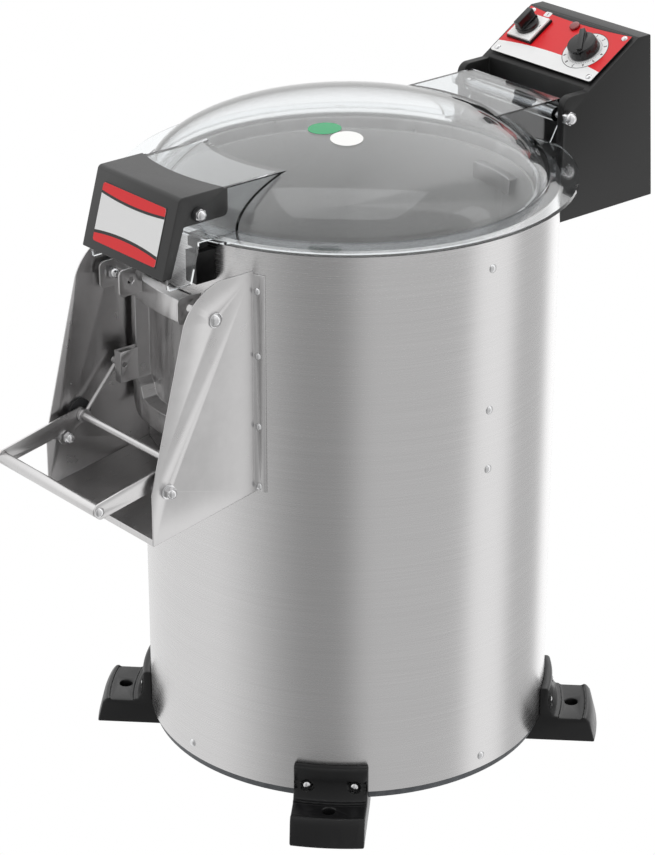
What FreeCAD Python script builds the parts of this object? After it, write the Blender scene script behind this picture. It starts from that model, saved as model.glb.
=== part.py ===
import FreeCAD, Part
import Sketcher
import math
import operator
import os

# Driving sizes of the peeler: millimetres, and degrees where a name ends in angle.
# The origin is on the drum's axis at floor level, the chute faces -Y and the control box +Y.
SIZES = {
    "casing_radius": 280,
    "casing_wall": 1.5,
    "casing_bottom": 41,
    "casing_top": 816,
    "base_radius": 4,
    "base_bottom": 11,
    "base_sheet": 2.5,
    "base_flange_top": 31,
    "base_opening": 60,
    "foot_width": 100,
    "foot_inner_radius": 44,
    "foot_front_radius": 78,
    "foot_top": 42,
    "foot_collar": 12,
    "foot_ledge": 36,
    "foot_rib": 2.5,
    "foot_sweep": 46,
    "floor_bolt_radius": 40,
    "floor_hole": 9,
    "foot_screw_spacing": 64,
    "foot_seat_margin": 0.8,
    "foot_screw_height": 27,
    "foot_angle": 45,
    "screw_head": 6,
    "screw_crown": 3,
    "screw_shank": 2.9,
    "screw_high": 45,
    "screw_middle": 75,
    "screw_pan": 9,
    "screw_base": 18,
    "drum_radius": 30,
    "drum_wall": 2,
    "lining_thickness": 4,
    "lining_bottom": 14,
    "lining_top": 18,
    "spacer_width": 30,
    "pan_level": 316,
    "pan_sheet": 3,
    "pan_skirt": 30,
    "opening_half_width": 82,
    "opening_bottom": 12,
    "opening_top": 125,
    "throat_wall": 1.5,
    "disc_level": 36,
    "disc_radius": 9,
    "disc_plate": 6,
    "disc_grit": 5,
    "disc_ridge": 9,
    "disc_hub_radius": 40,
    "disc_hub_drop": 22,
    "shaft_radius": 15,
    "shaft_bottom": 164,
    "hub_nut_width": 24,
    "housing_radius": 42,
    "housing_flange": 78,
    "housing_drop": 104,
    "bearing_radius": 31,
    "bearing_width": 16,
    "running_gap": 0.05,
    "seal_radius": 24,
    "pulley_radius": 110,
    "pulley_level": 155,
    "pulley_width": 24,
    "belt_depth": 8,
    "belt_width": 12,
    "belt_gap": 0.6,
    "motor_pulley_radius": 36,
    "motor_shaft_radius": 12,
    "motor_distance": 180,
    "motor_radius": 70,
    "motor_length": 190,
    "motor_plate_level": 170,
    "motor_plate_thickness": 6,
    "motor_plate_half_width": 108,
    "post_radius": 8,
    "fan_cover_length": 30,
    "drain_radius": 25,
    "drain_wall": 2,
    "drain_bottom": 89,
    "drain_distance": 38,
    "drain_angle": 135,
    "drain_reach": 34,
    "drain_shoulder": 2,
    "water_radius": 8,
    "water_bore": 6,
    "water_distance": 15,
    "water_angle": 80,
    "water_bottom": 109,
    "water_top": 44,
    "water_reach": 32,
    "water_thread": 13,
    "gland_radius": 12,
    "gland_angle": 108,
    "gland_height": 59,
    "lid_radius": 24,
    "lid_level": 4.5,
    "lid_sheet": 5.5,
    "lid_rear_edge": 5,
    "gasket_inner": 5,
    "gasket_gap": 0.4,
    "dome_radius": 14,
    "dome_height": 90,
    "dome_sheet": 4,
    "hinge_reach": 16,
    "hinge_level": 42.5,
    "hinge_rod": 4,
    "bridge_half_width": 6,
    "bridge_top": 22,
    "bridge_sheet": 3,
    "bridge_start": 130,
    "bridge_rear": 9,
    "knuckle_radius": 10,
    "box_half_width": 106.4,
    "box_bottom": 150,
    "box_front": 10,
    "box_brow": 28,
    "box_chin_reach": 47,
    "box_roof": 86,
    "box_roof_front": 140,
    "box_roof_rear": 163,
    "box_rear": 179,
    "box_sheet": 1.5,
    "box_corner": 15,
    "box_rim": 18,
    "cover_screw": 1.8,
    "cover_screw_inset": 10,
    "recess_half_width": 12.4,
    "recess_depth": 50,
    "bracket_half_width": 36.4,
    "bracket_bottom": 15,
    "bracket_top": 79,
    "panel_angle": 31.2,
    "panel_reach": 55.2,
    "panel_level": 9.2,
    "panel_half_width": 6.7,
    "panel_length": 94,
    "panel_sheet": 1.2,
    "panel_screw": 5,
    "panel_screw_shank": 2,
    "panel_screw_across": 9.7,
    "panel_screw_low": 8,
    "panel_screw_high": 86,
    "switch_neck": 12,
    "timer_neck": 8,
    "switch_across": 48,
    "switch_centre_u": -66,
    "switch_centre_v": 53,
    "switch_height": 7,
    "switch_knob_radius": 17,
    "switch_knob_height": 20,
    "timer_centre_u": 49,
    "timer_centre_v": 47,
    "timer_knob_radius": 22.5,
    "timer_knob_height": 19,
    "knob_shaft": 3,
    "lamp_radius": 7.5,
    "lamp_v": 80,
    "chute_half_width": 10,
    "chute_sheet": 2,
    "chute_bottom": 97,
    "chute_rear_bottom": 27,
    "chute_top": 55,
    "chute_front": 117,
    "chute_slope_low": 23,
    "chute_slope_high": 48,
    "chute_slope_reach": 62,
    "chute_crown_reach": 3,
    "chute_crown_radius": 76,
    "chute_flange_reach": 14.5,
    "chute_screw_reach": 5.5,
    "chute_screw_one": 35.5,
    "chute_screw_two": 119.7,
    "chute_screw_three": 114.5,
    "chute_screw_four": 26.5,
    "bumper_radius": 17,
    "bumper_height": 4,
    "bumper_reach": 65,
    "bumper_level": 23,
    "pivot_reach": 92,
    "pivot_level": 70,
    "grip_reach": 100,
    "grip_level": 1,
    "grip_radius": 8,
    "grip_wall": 1.5,
    "bar_half_width": 9,
    "bar_sheet": 3,
    "bar_height": 22,
    "lobe_radius": 12.5,
    "crossbar_reach": 25,
    "crossbar_level": 25,
    "crossbar_radius": 5,
    "link_pin_reach": 11,
    "link_pin_level": 25,
    "link_radius": 3,
    "pivot_bolt": 5,
    "pivot_head": 10,
    "door_hinge_reach": 12,
    "door_hinge_level": 42,
    "door_radius": 25,
    "door_skin": 2,
    "door_half_width": 23,
    "door_bottom": 22,
    "door_top": 37,
    "door_corner": 28,
    "door_face_radius": 3.4,
    "door_recess_half_width": 17,
    "door_recess_bottom": 30,
    "door_recess_top": 32,
    "ear_outer": 10,
    "ear_inner": 45,
    "ear_sheet": 3,
    "ear_front": 31,
    "ear_bottom": 15,
    "ear_top": 22,
    "lug_outer": 11,
    "lug_inner": 13,
    "lug_sheet": 2,
    "lug_front": 18,
    "lug_bottom": 57,
    "lug_top": 44,
    "lug_slot_play": 6.2,
    "lug_slot_angle": 83,
    "lug_slot_gap": 1.2,
    "cap_half_width": 84.4,
    "cap_sheet": 2.4,
    "cap_brow_reach": 65.5,
    "cap_brow": 70.5,
    "cap_chin_reach": 94.6,
    "cap_chin": 31.5,
    "cap_rear_reach": 10,
    "cap_side_bottom": 31.5,
    "cap_corner": 7,
    "badge_half_width": 18.7,
    "badge_low": 12,
    "badge_length": 77,
    "badge_sheet": 0.8,
    "lug_plate_thickness": 6,
    "hood_gap": 0.3,
    "hood_reach": 58,
    "lid_lug_knee": 35,
    "lid_lug_drop": 47.5,
    "lid_lug_width": 39,
    "lid_lug_round": 4,
    "lid_lug_rise": 20,
    "lid_lug_inset": 8,
    "cap_bolt_reach": 38,
    "cap_bolt_level": 44.5,
    "sensor_side": 36,
    "sensor_width": 25,
    "sensor_depth": 24,
    "sensor_bottom": 42,
    "sensor_top": 14,
    "magnet_gap": 5,
}

# Sizes that start from another size and are added to it.
ADDED_TO = {
    "base_flange_top": "casing_bottom",
    "foot_front_radius": "casing_radius",
    "foot_top": "casing_bottom",
    "floor_bolt_radius": "casing_radius",
    "screw_middle": "pan_level",
    "screw_base": "casing_bottom",
    "lining_bottom": "pan_level",
    "opening_bottom": "disc_level",
    "disc_level": "pan_level",
    "drain_bottom": "casing_bottom",
    "drain_reach": "casing_radius",
    "drain_shoulder": "casing_radius",
    "water_bottom": "casing_bottom",
    "water_reach": "casing_radius",
    "gland_height": "casing_bottom",
    "lid_radius": "casing_radius",
    "lid_level": "casing_top",
    "lid_rear_edge": "casing_radius",
    "hood_reach": "casing_radius",
    "lid_lug_knee": "casing_radius",
    "gasket_inner": "drum_radius",
    "hinge_reach": "casing_radius",
    "hinge_level": "lid_level",
    "bridge_top": "hinge_level",
    "bridge_rear": "hinge_reach",
    "box_front": "casing_radius",
    "box_brow": "hinge_level",
    "box_chin_reach": "box_front",
    "box_roof": "hinge_level",
    "box_roof_front": "box_front",
    "box_roof_rear": "box_front",
    "box_rear": "box_front",
    "recess_depth": "box_front",
    "bracket_bottom": "box_bottom",
    "bracket_top": "box_bottom",
    "panel_reach": "box_front",
    "panel_level": "box_brow",
    "chute_half_width": "door_half_width",
    "chute_rear_bottom": "chute_bottom",
    "chute_top": "door_top",
    "chute_front": "door_radius",
    "chute_slope_reach": "door_radius",
    "chute_crown_reach": "door_radius",
    "chute_flange_reach": "chute_half_width",
    "chute_screw_reach": "chute_half_width",
    "chute_screw_one": "chute_bottom",
    "chute_screw_two": "chute_bottom",
    "bumper_reach": "door_radius",
    "bumper_level": "chute_slope_low",
    "pivot_reach": "door_radius",
    "pivot_level": "chute_bottom",
    "grip_reach": "pivot_reach",
    "crossbar_level": "pivot_level",
    "link_pin_reach": "door_radius",
    "link_pin_level": "lug_bottom",
    "door_hinge_reach": "door_radius",
    "door_hinge_level": "opening_top",
    "door_radius": "casing_radius",
    "door_half_width": "opening_half_width",
    "door_top": "opening_top",
    "door_face_radius": "casing_radius",
    "door_recess_bottom": "door_bottom",
    "ear_front": "door_radius",
    "ear_top": "door_top",
    "lug_front": "door_radius",
    "lug_bottom": "door_bottom",
    "lug_top": "lug_bottom",
    "cap_brow_reach": "casing_radius",
    "cap_brow": "lid_level",
    "cap_chin_reach": "casing_radius",
    "cap_side_bottom": "lid_level",
    "cap_bolt_reach": "casing_radius",
    "cap_bolt_level": "lid_level",
}
# Sizes that start from another size and are taken away from it.
TAKEN_FROM = {
    "base_radius": "casing_radius",
    "base_bottom": "casing_bottom",
    "foot_inner_radius": "casing_radius",
    "foot_screw_height": "foot_top",
    "screw_high": "casing_top",
    "screw_pan": "pan_level",
    "drum_radius": "casing_radius",
    "lining_top": "casing_top",
    "pan_level": "casing_top",
    "opening_top": "casing_top",
    "disc_radius": "drum_radius",
    "shaft_bottom": "pan_level",
    "pulley_level": "pan_level",
    "motor_plate_level": "pan_level",
    "drain_distance": "drum_radius",
    "water_distance": "casing_radius",
    "water_top": "casing_top",
    "dome_radius": "casing_radius",
    "bridge_half_width": "recess_half_width",
    "bridge_start": "casing_radius",
    "box_bottom": "hinge_level",
    "recess_half_width": "box_half_width",
    "bracket_half_width": "box_half_width",
    "panel_half_width": "box_half_width",
    "panel_screw_across": "panel_half_width",
    "chute_bottom": "opening_bottom",
    "chute_slope_low": "opening_bottom",
    "chute_slope_high": "chute_top",
    "chute_screw_three": "chute_top",
    "chute_screw_four": "chute_top",
    "grip_level": "pivot_level",
    "bar_half_width": "chute_half_width",
    "crossbar_reach": "pivot_reach",
    "door_bottom": "opening_bottom",
    "door_recess_half_width": "door_half_width",
    "door_recess_top": "door_top",
    "ear_outer": "chute_half_width",
    "ear_inner": "ear_outer",
    "ear_bottom": "door_top",
    "lug_outer": "door_half_width",
    "lug_inner": "lug_outer",
    "cap_chin": "lid_level",
    "cap_rear_reach": "casing_radius",
    "badge_half_width": "cap_half_width",
    "sensor_bottom": "sensor_top",
    "sensor_top": "casing_top",
}

document = FreeCAD.newDocument("Peeler")
sheet = document.addObject("Spreadsheet::Sheet", "Sizes")
OPERATIONS = {
    "+": operator.add,
    "-": operator.sub,
    "*": operator.mul,
    "/": operator.truediv,
}


class Size:
    """A length or angle that carries the spreadsheet formula it comes from."""

    def __init__(self, value, formula):
        self.value = float(value)
        self.formula = formula

    def joined(self, sign, first, second):
        value = OPERATIONS[sign](first.value, second.value)
        return Size(value, "({} {} {})".format(first.formula, sign, second.formula))

    def __add__(self, other):
        return self.joined("+", self, plain(other))

    def __radd__(self, other):
        return self.joined("+", plain(other), self)

    def __sub__(self, other):
        return self.joined("-", self, plain(other))

    def __rsub__(self, other):
        return self.joined("-", plain(other), self)

    def __mul__(self, other):
        return self.joined("*", self, plain(other))

    def __rmul__(self, other):
        return self.joined("*", plain(other), self)

    def __truediv__(self, other):
        return self.joined("/", self, plain(other))

    def __neg__(self):
        return Size(-self.value, "(0 - {})".format(self.formula))


def plain(item):
    """Give a number the same form as a size."""
    if isinstance(item, Size):
        return item
    return Size(item, repr(float(item)))


def sine(angle):
    return Size(math.sin(math.radians(plain(angle).value)), "sin({})".format(plain(angle).formula))


def cosine(angle):
    return Size(math.cos(math.radians(plain(angle).value)), "cos({})".format(plain(angle).formula))


def root(item):
    return Size(math.sqrt(item.value), "sqrt({})".format(item.formula))


class Named:
    """The sizes of the spreadsheet, each under its own name."""


def from_start(name):
    """A size counted from the size that it starts at, if it has one."""
    own = Size(SIZES[name], "Sizes." + name)
    if name in ADDED_TO:
        return from_start(ADDED_TO[name]) + own
    if name in TAKEN_FROM:
        return from_start(TAKEN_FROM[name]) - own
    return own


def fill_sheet():
    """Write every size into the spreadsheet and give its cell the same name."""
    named = Named()
    for row, (name, value) in enumerate(SIZES.items(), 1):
        sheet.set("A{}".format(row), name)
        sheet.set("B{}".format(row), str(value))
        sheet.setAlias("B{}".format(row), name)
    for name in SIZES:
        setattr(named, name, from_start(name))
    document.recompute()
    return named


size = fill_sheet()
AXES = {
    "x": FreeCAD.Vector(1, 0, 0),
    "-x": FreeCAD.Vector(-1, 0, 0),
    "y": FreeCAD.Vector(0, 1, 0),
    "-y": FreeCAD.Vector(0, -1, 0),
    "z": FreeCAD.Vector(0, 0, 1),
    "-z": FreeCAD.Vector(0, 0, -1),
}
UP = AXES["z"]
BIG = 2000
pieces = []


def bind(target, prop, item):
    """Tie one property of an object to a size."""
    target.setExpression(prop, plain(item).formula)


def place(target, x, y, z):
    """Tie an object's position to three sizes."""
    target.Placement.Base = FreeCAD.Vector(plain(x).value, plain(y).value, plain(z).value)
    bind(target, "Placement.Base.x", x)
    bind(target, "Placement.Base.y", y)
    bind(target, "Placement.Base.z", z)


def turn(target, angle, about="z", at=(0, 0, 0)):
    """Turn an object about an axis through a point, after it is placed."""
    spin = FreeCAD.Rotation(AXES[about], plain(angle).value)
    centre = FreeCAD.Vector(*[plain(item).value for item in at])
    swing = FreeCAD.Placement(FreeCAD.Vector(0, 0, 0), spin, centre)
    for prop in ("Placement.Base.x", "Placement.Base.y", "Placement.Base.z"):
        target.setExpression(prop, None)
    target.Placement = swing.multiply(target.Placement)


def box(name, x, y, z):
    """A block between a low and a high value on each axis."""
    block = document.addObject("Part::Box", name)
    spans = {"Length": x, "Width": y, "Height": z}
    for prop, (low, high) in spans.items():
        bind(block, prop, plain(high) - low)
    place(block, x[0], y[0], z[0])
    return block


def rod(name, radius, start, axis, length):
    """A round bar from a point along one axis."""
    bar = document.addObject("Part::Cylinder", name)
    bind(bar, "Radius", radius)
    bind(bar, "Height", length)
    bar.Placement.Rotation = FreeCAD.Rotation(UP, AXES[axis])
    place(bar, *start)
    return bar


def tube(name, outer, inner, low, high):
    """A ring round the drum's axis."""
    ring = document.addObject("Part::Cut", name)
    ring.Base = rod(name + "_outside", outer, (0, 0, low), "z", plain(high) - low)
    ring.Tool = rod(name + "_inside", inner, (0, 0, plain(low) - 1), "z", plain(high) - low + 2)
    return ring


def cut(name, base, *tools):
    """Take one or more shapes away from a base."""
    result = document.addObject("Part::Cut", name)
    result.Base = base
    result.Tool = tools[0] if len(tools) == 1 else join(name + "_cutters", *tools)
    return result


def join(name, *parts):
    """Weld shapes into one."""
    result = document.addObject("Part::MultiFuse", name)
    result.Shapes = list(parts)
    result.Refine = True
    return result


def overlap(name, *parts):
    """Keep only what all the shapes share."""
    result = document.addObject("Part::MultiCommon", name)
    result.Shapes = list(parts)
    return result


def group(name, members):
    """Gather separate like pieces under one name."""
    result = document.addObject("Part::Compound", name)
    result.Links = list(members)
    return result


fasteners = {"casing_screws": [], "box_screws": [], "pivot_bolts": [], "acorn_nuts": []}


def piece(label, shape):
    """Mark a finished piece; its label names its file."""
    shape.Label = label
    pieces.append(shape)
    return shape


def drawn_arc(start, end, radius):
    """An arc between two points that bulges to the right of travel, or left for a negative radius."""
    chord = end - start
    middle = (start + end) * 0.5
    side = FreeCAD.Vector(chord.y, -chord.x, 0).normalize()
    height = math.sqrt(radius * radius - chord.Length * chord.Length / 4)
    rise = (abs(radius) - height) * math.copysign(1, radius)
    return Part.Arc(start, middle + side * rise, end)


def outline(body, role, points):
    """Sketch a closed outline on one of a body's planes, every corner tied to its sizes.

    A point is (across, up), or (across, up, radius) where an arc arrives at it.
    """
    sketch = body.newObject("Sketcher::SketchObject", body.Name + "_outline")
    plane = [item for item in body.Origin.OriginFeatures if item.Role == role][0]
    sketch.AttachmentSupport = [(plane, "")]
    sketch.MapMode = "FlatFace"
    corners = [FreeCAD.Vector(plain(item[0]).value, plain(item[1]).value, 0) for item in points]
    for index, start in enumerate(corners):
        arrival = points[(index + 1) % len(points)]
        end = corners[(index + 1) % len(points)]
        if len(arrival) == 3:
            sketch.addGeometry(drawn_arc(start, end, plain(arrival[2]).value), False)
        else:
            sketch.addGeometry(Part.LineSegment(start, end), False)
    tie_corners(sketch, points)
    return sketch


def tie_corners(sketch, points):
    """Join the lines and arcs of an outline and bind every corner and radius."""
    count = len(points)
    ends = []
    for index in range(count):
        bent = len(points[(index + 1) % count]) == 3
        wanted = FreeCAD.Vector(plain(points[index][0]).value, plain(points[index][1]).value, 0)
        forward = (sketch.getPoint(index, 1) - wanted).Length < (sketch.getPoint(index, 2) - wanted).Length
        ends.append((1, 2) if forward or not bent else (2, 1))
    for index in range(count):
        following = (index + 1) % count
        sketch.addConstraint(
            Sketcher.Constraint("Coincident", index, ends[index][1], following, ends[following][0])
        )
    for index, point in enumerate(points):
        for kind, item in (("DistanceX", point[0]), ("DistanceY", point[1])):
            number = plain(item).value
            row = sketch.addConstraint(Sketcher.Constraint(kind, -1, 1, index, ends[index][0], number))
            sketch.setExpression("Constraints[{}]".format(row), plain(item).formula)
    for index in range(count):
        arrival = points[(index + 1) % count]
        if len(arrival) == 3:
            radius = plain(arrival[2])
            bend = radius if radius.value > 0 else -radius
            row = sketch.addConstraint(Sketcher.Constraint("Radius", index, bend.value))
            sketch.setExpression("Constraints[{}]".format(row), bend.formula)


def turned(name, points):
    """A body turned round the drum's axis from (radius, height) points."""
    body = document.addObject("PartDesign::Body", name)
    sketch = outline(body, "XZ_Plane", points)
    spin = body.newObject("PartDesign::Revolution", name + "_turning")
    spin.Profile = sketch
    spin.ReferenceAxis = (sketch, ["V_Axis"])
    spin.Angle = 360
    return body


def sheet_cut(name, role, points, near, far):
    """A body padded from an outline, between two distances along the plane's normal.

    The normal of YZ_Plane is +X, of XZ_Plane -Y and of XY_Plane +Z.
    """
    body = document.addObject("PartDesign::Body", name)
    sketch = outline(body, role, points)
    sketch.AttachmentOffset = FreeCAD.Placement(
        FreeCAD.Vector(0, 0, plain(near).value), FreeCAD.Rotation()
    )
    bind(sketch, "AttachmentOffset.Base.z", near)
    pad = body.newObject("PartDesign::Pad", name + "_pad")
    pad.Profile = sketch
    bind(pad, "Length", plain(far) - near)
    return body


def soften(body, radius, chosen):
    """Round the edges of a body's tip that the test picks."""
    document.recompute()
    sharp = body.Tip
    names = ["Edge{}".format(row) for row, edge in enumerate(sharp.Shape.Edges, 1) if chosen(edge)]
    fillet = body.newObject("PartDesign::Fillet", body.Name + "_rounding")
    fillet.Base = (sharp, names)
    bind(fillet, "Radius", radius)
    body.Tip = fillet
    return body


def edge_at(direction, corners):
    """A test for straight edges along one direction that pass through given corners."""
    along = AXES[direction]
    targets = [FreeCAD.Vector(*[plain(item).value for item in corner]) for corner in corners]

    def chosen(edge):
        if len(edge.Vertexes) != 2:
            return False
        run = edge.Vertexes[1].Point - edge.Vertexes[0].Point
        if run.Length < 1e-6 or abs(abs(run.normalize().dot(along)) - 1) > 1e-6:
            return False
        for target in targets:
            offset = edge.Vertexes[0].Point - target
            if (offset - along * offset.dot(along)).Length < 0.01:
                return True
        return False

    return chosen


def polar(radius, angle):
    """The x and y of a point on a circle round the drum's axis."""
    return radius * cosine(angle), radius * sine(angle)


def dome_screw(name, head, crown, shank, length, at, direction):
    """A dome-headed screw: its head stands out along the direction, its shank runs the other way."""
    head = plain(head)
    crown = plain(crown)
    ball = (head * head + crown * crown) / (2 * crown)
    cap = document.addObject("Part::Sphere", name + "_cap")
    bind(cap, "Radius", ball)
    cap.Angle1 = math.degrees(math.asin(((ball - crown) / ball).value))
    place(cap, 0, 0, crown - ball)
    stem = rod(name + "_stem", shank, (0, 0, -length), "z", length + crown / 2)
    screw = join(name, cap, stem)
    screw.Placement.Rotation = FreeCAD.Rotation(UP, direction)
    place(screw, *at)
    return screw


def acorn_nut(name, across, height, bore, at, direction):
    """A closed hexagon nut whose dome points along the direction, its seat at the point."""
    across = plain(across)
    height = plain(height)
    hexagon = document.addObject("Part::Prism", name + "_hexagon")
    hexagon.Polygon = 6
    bind(hexagon, "Circumradius", across / 2)
    bind(hexagon, "Height", height / 2)
    cap = document.addObject("Part::Sphere", name + "_cap")
    bind(cap, "Radius", across * 0.42)
    cap.Angle1 = 0
    place(cap, 0, 0, height / 2)
    hole = rod(name + "_hole", bore, (0, 0, -1), "z", height * 0.6 + 1)
    nut = cut(name, join(name + "_solid", hexagon, cap), hole)
    nut.Placement.Rotation = FreeCAD.Rotation(UP, direction)
    place(nut, *at)
    return nut


def outward(angle):
    """The horizontal direction at an angle round the drum."""
    return FreeCAD.Vector(math.cos(math.radians(angle)), math.sin(math.radians(angle)), 0)


def casing_screw(name, angle, radius, height, length):
    """One side screw, its head seated on a round wall."""
    x, y = polar(radius, angle)
    return dome_screw(
        name, size.screw_head, size.screw_crown, size.screw_shank, length, (x, y, height), outward(angle)
    )


# Openings that several walls share.
throat_top = size.opening_top
throat_half = size.opening_half_width


def throat_block(name, margin):
    """The block of the potato outlet through the front walls, larger than it by a margin."""
    return box(
        name,
        (-throat_half - margin, throat_half + margin),
        (-size.casing_radius - 40, -size.drum_radius * 0.6),
        (size.opening_bottom - margin, throat_top + margin),
    )


# Casing: the outer stainless drum, rolled from sheet.
casing_inner = size.casing_radius - size.casing_wall
water_x, water_y = polar(size.water_distance, size.water_angle)
drain_x, drain_y = polar(size.drain_distance, size.drain_angle)
gland_x, gland_y = polar(size.casing_radius, size.gland_angle)


def radial_rod(name, radius, angle, start, height, end):
    """A horizontal round bar that points away from the drum's axis."""
    bar = document.addObject("Part::Cylinder", name)
    bind(bar, "Radius", radius)
    bind(bar, "Height", plain(end) - start)
    bar.Placement.Rotation = FreeCAD.Rotation(UP, outward(plain(angle).value))
    x, y = polar(plain(start), angle)
    place(bar, x, y, height)
    return bar


FLANK_LEVELS = ("screw_high", "screw_middle", "screw_pan", "screw_base")
CHUTE_LEVELS = ("chute_screw_one", "chute_screw_two", "chute_screw_three", "chute_screw_four")
chute_seat = size.casing_radius + size.chute_sheet
chute_tilt = math.degrees(math.asin((size.chute_screw_reach / chute_seat).value))


def flank_spots(level_names):
    """Angle and level of the screws on both flanks."""
    return [(angle, getattr(size, name)) for angle in (0, 180) for name in level_names]


def base_spots():
    """Angle and level of the low screws at the front and the rear."""
    return [(angle, size.screw_base) for angle in (270, 90)]


def chute_spots(level_names, sides=(-1, 1)):
    """Angle and level of the screws in the chute's flanges."""
    return [(270 + side * chute_tilt, getattr(size, name)) for side in sides for name in level_names]


def shank_holes(label, spots):
    """Screw holes through round walls, each pointing at the drum's axis."""
    return [
        radial_rod("{}_shank_hole_{}".format(label, row), size.screw_shank, angle,
                   size.base_radius - 20, level, size.casing_radius + 20)
        for row, (angle, level) in enumerate(spots)
    ]


def all_foot_holes(label):
    """The holes of every foot's screws."""
    return [
        hole
        for foot_name, turns in FOOT_NAMES.items()
        for hole in foot_screw_holes("{}_{}".format(label, foot_name), size.foot_angle * turns)
    ]


def build_casing():
    wall = turned("casing_wall", [
        (casing_inner, size.casing_bottom),
        (size.casing_radius, size.casing_bottom),
        (size.casing_radius, size.casing_top),
        (casing_inner, size.casing_top),
    ])
    drain_hole = radial_rod("casing_drain_hole", size.drain_radius, size.drain_angle,
                            casing_inner - 10, size.drain_bottom, size.casing_radius + 10)
    water_hole = radial_rod("casing_water_hole", size.water_radius, size.water_angle,
                            casing_inner - 10, size.water_bottom, size.casing_radius + 10)
    gland_hole = radial_rod("casing_gland_hole", size.gland_radius * 0.8, size.gland_angle,
                            casing_inner - 10, size.gland_height, size.casing_radius + 10)
    cable_hole = rod("casing_cable_hole", size.gland_radius,
                     (0, casing_inner - 10, size.bracket_bottom + 30), "y", 20)
    spots = flank_spots(FLANK_LEVELS) + base_spots() + chute_spots(CHUTE_LEVELS)
    piece("casing", cut("casing", wall, throat_block("casing_door_hole", 0), drain_hole, water_hole,
                        gland_hole, cable_hole, *shank_holes("casing", spots), *all_foot_holes("casing")))


def build_base():
    """The base plate: a flanged pressing that closes the casing and carries its lower screws."""
    low = size.casing_bottom
    lip = size.base_sheet
    plate = turned("base_pressing", [
        (size.base_opening, low),
        (size.base_radius - lip, low),
        (size.base_radius - lip, size.base_bottom),
        (size.base_radius, size.base_bottom),
        (size.base_radius, low),
        (casing_inner, low),
        (casing_inner, size.base_flange_top),
        (casing_inner - lip, size.base_flange_top),
        (casing_inner - lip, low + lip),
        (size.base_opening, low + lip),
    ])
    spots = flank_spots(["screw_base"]) + base_spots()
    piece("base_plate", cut("base_plate", plate, *shank_holes("base", spots), *all_foot_holes("base")))


# Feet: four moulded blocks screwed to the casing, each with a floor bolt hole.
FOOT_NAMES = {
    "foot_rear_right": 1,
    "foot_rear_left": 3,
    "foot_front_left": 5,
    "foot_front_right": 7,
}


def build_foot(label, turns):
    angle = size.foot_angle * turns
    collar = size.casing_radius + size.foot_collar
    ledge = size.foot_ledge
    rib = size.foot_rib
    front = size.foot_front_radius
    block = turned(label + "_block", [
        (size.foot_inner_radius, 0),
        (front, 0),
        (front - 8, ledge - 5),
        (front - 13, ledge + rib - 1),
        (front - 17, ledge + rib),
        (front - 20, ledge),
        (front - 50, ledge),
        (front - 53, ledge + rib),
        (front - 57, ledge + rib),
        (collar, size.foot_top - 18, -size.foot_sweep),
        (collar, size.foot_top - 3),
        (collar - 3, size.foot_top),
        (size.casing_radius, size.foot_top),
        (size.casing_radius, size.casing_bottom),
        (size.base_radius, size.casing_bottom),
        (size.base_radius, size.base_bottom),
        (size.foot_inner_radius, size.base_bottom),
    ])
    slab = box(label + "_slab", (0, BIG / 4), (-size.foot_width / 2, size.foot_width / 2),
               (-10, size.foot_top + 10))
    bolt_hole = rod(label + "_bolt_hole", size.floor_hole, (size.floor_bolt_radius, 0, -10), "z", BIG / 10)
    turn(slab, angle)
    turn(bolt_hole, angle)
    sector = overlap(label + "_sector", block, slab)
    piece(label, cut(label, sector, bolt_hole, *foot_screw_seats(label, angle),
                     *foot_screw_holes(label, angle)))


def foot_seat():
    """How far out the flat seat lies that is sunk into a foot's round collar under a screw head."""
    collar = size.casing_radius + size.foot_collar
    edge = size.foot_screw_spacing / 2 + size.screw_head + size.foot_seat_margin
    return root(collar * collar - edge * edge)


def foot_screw_places(turns):
    """The two screws of a foot: which side, and each seat point."""
    angle = size.foot_angle * turns
    seat = foot_seat()
    for side in (-1, 1):
        across = size.foot_screw_spacing / 2 * side
        x = seat * cosine(angle) - across * sine(angle)
        y = seat * sine(angle) + across * cosine(angle)
        yield side, x, y


def foot_screw_seats(label, angle):
    seats = []
    for side in (-1, 1):
        seat = rod("{}_screw_seat_{}".format(label, side + 1), size.screw_head + size.foot_seat_margin,
                   (foot_seat(), size.foot_screw_spacing / 2 * side, size.foot_screw_height),
                   "x", size.foot_front_radius)
        turn(seat, angle)
        seats.append(seat)
    return seats


def foot_screw_holes(label, angle):
    holes = []
    for side in (-1, 1):
        hole = rod("{}_screw_hole_{}".format(label, side + 1), size.screw_shank,
                   (size.base_radius - 20, size.foot_screw_spacing / 2 * side, size.foot_screw_height),
                   "x", BIG / 10)
        turn(hole, angle)
        holes.append(hole)
    return holes


def build_foot_screws():
    screws = []
    for label, turns in FOOT_NAMES.items():
        angle = size.foot_angle * turns
        for side, x, y in foot_screw_places(turns):
            name = "{}_screw_{}".format(label, side + 1)
            screws.append(dome_screw(name, size.screw_head, size.screw_crown + 1, size.screw_shank,
                                     size.foot_collar + 2, (x, y, size.foot_screw_height),
                                     outward(angle.value)))
    fasteners["casing_screws"] += screws


build_casing()
build_base()
for foot_label, foot_turns in FOOT_NAMES.items():
    build_foot(foot_label, foot_turns)
build_foot_screws()


# Inner drum, its abrasive lining and the pan that it stands on.
pan_top = size.pan_level + size.pan_sheet
drum_outer = size.drum_radius + size.drum_wall
lining_radius = size.drum_radius - size.lining_thickness


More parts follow.
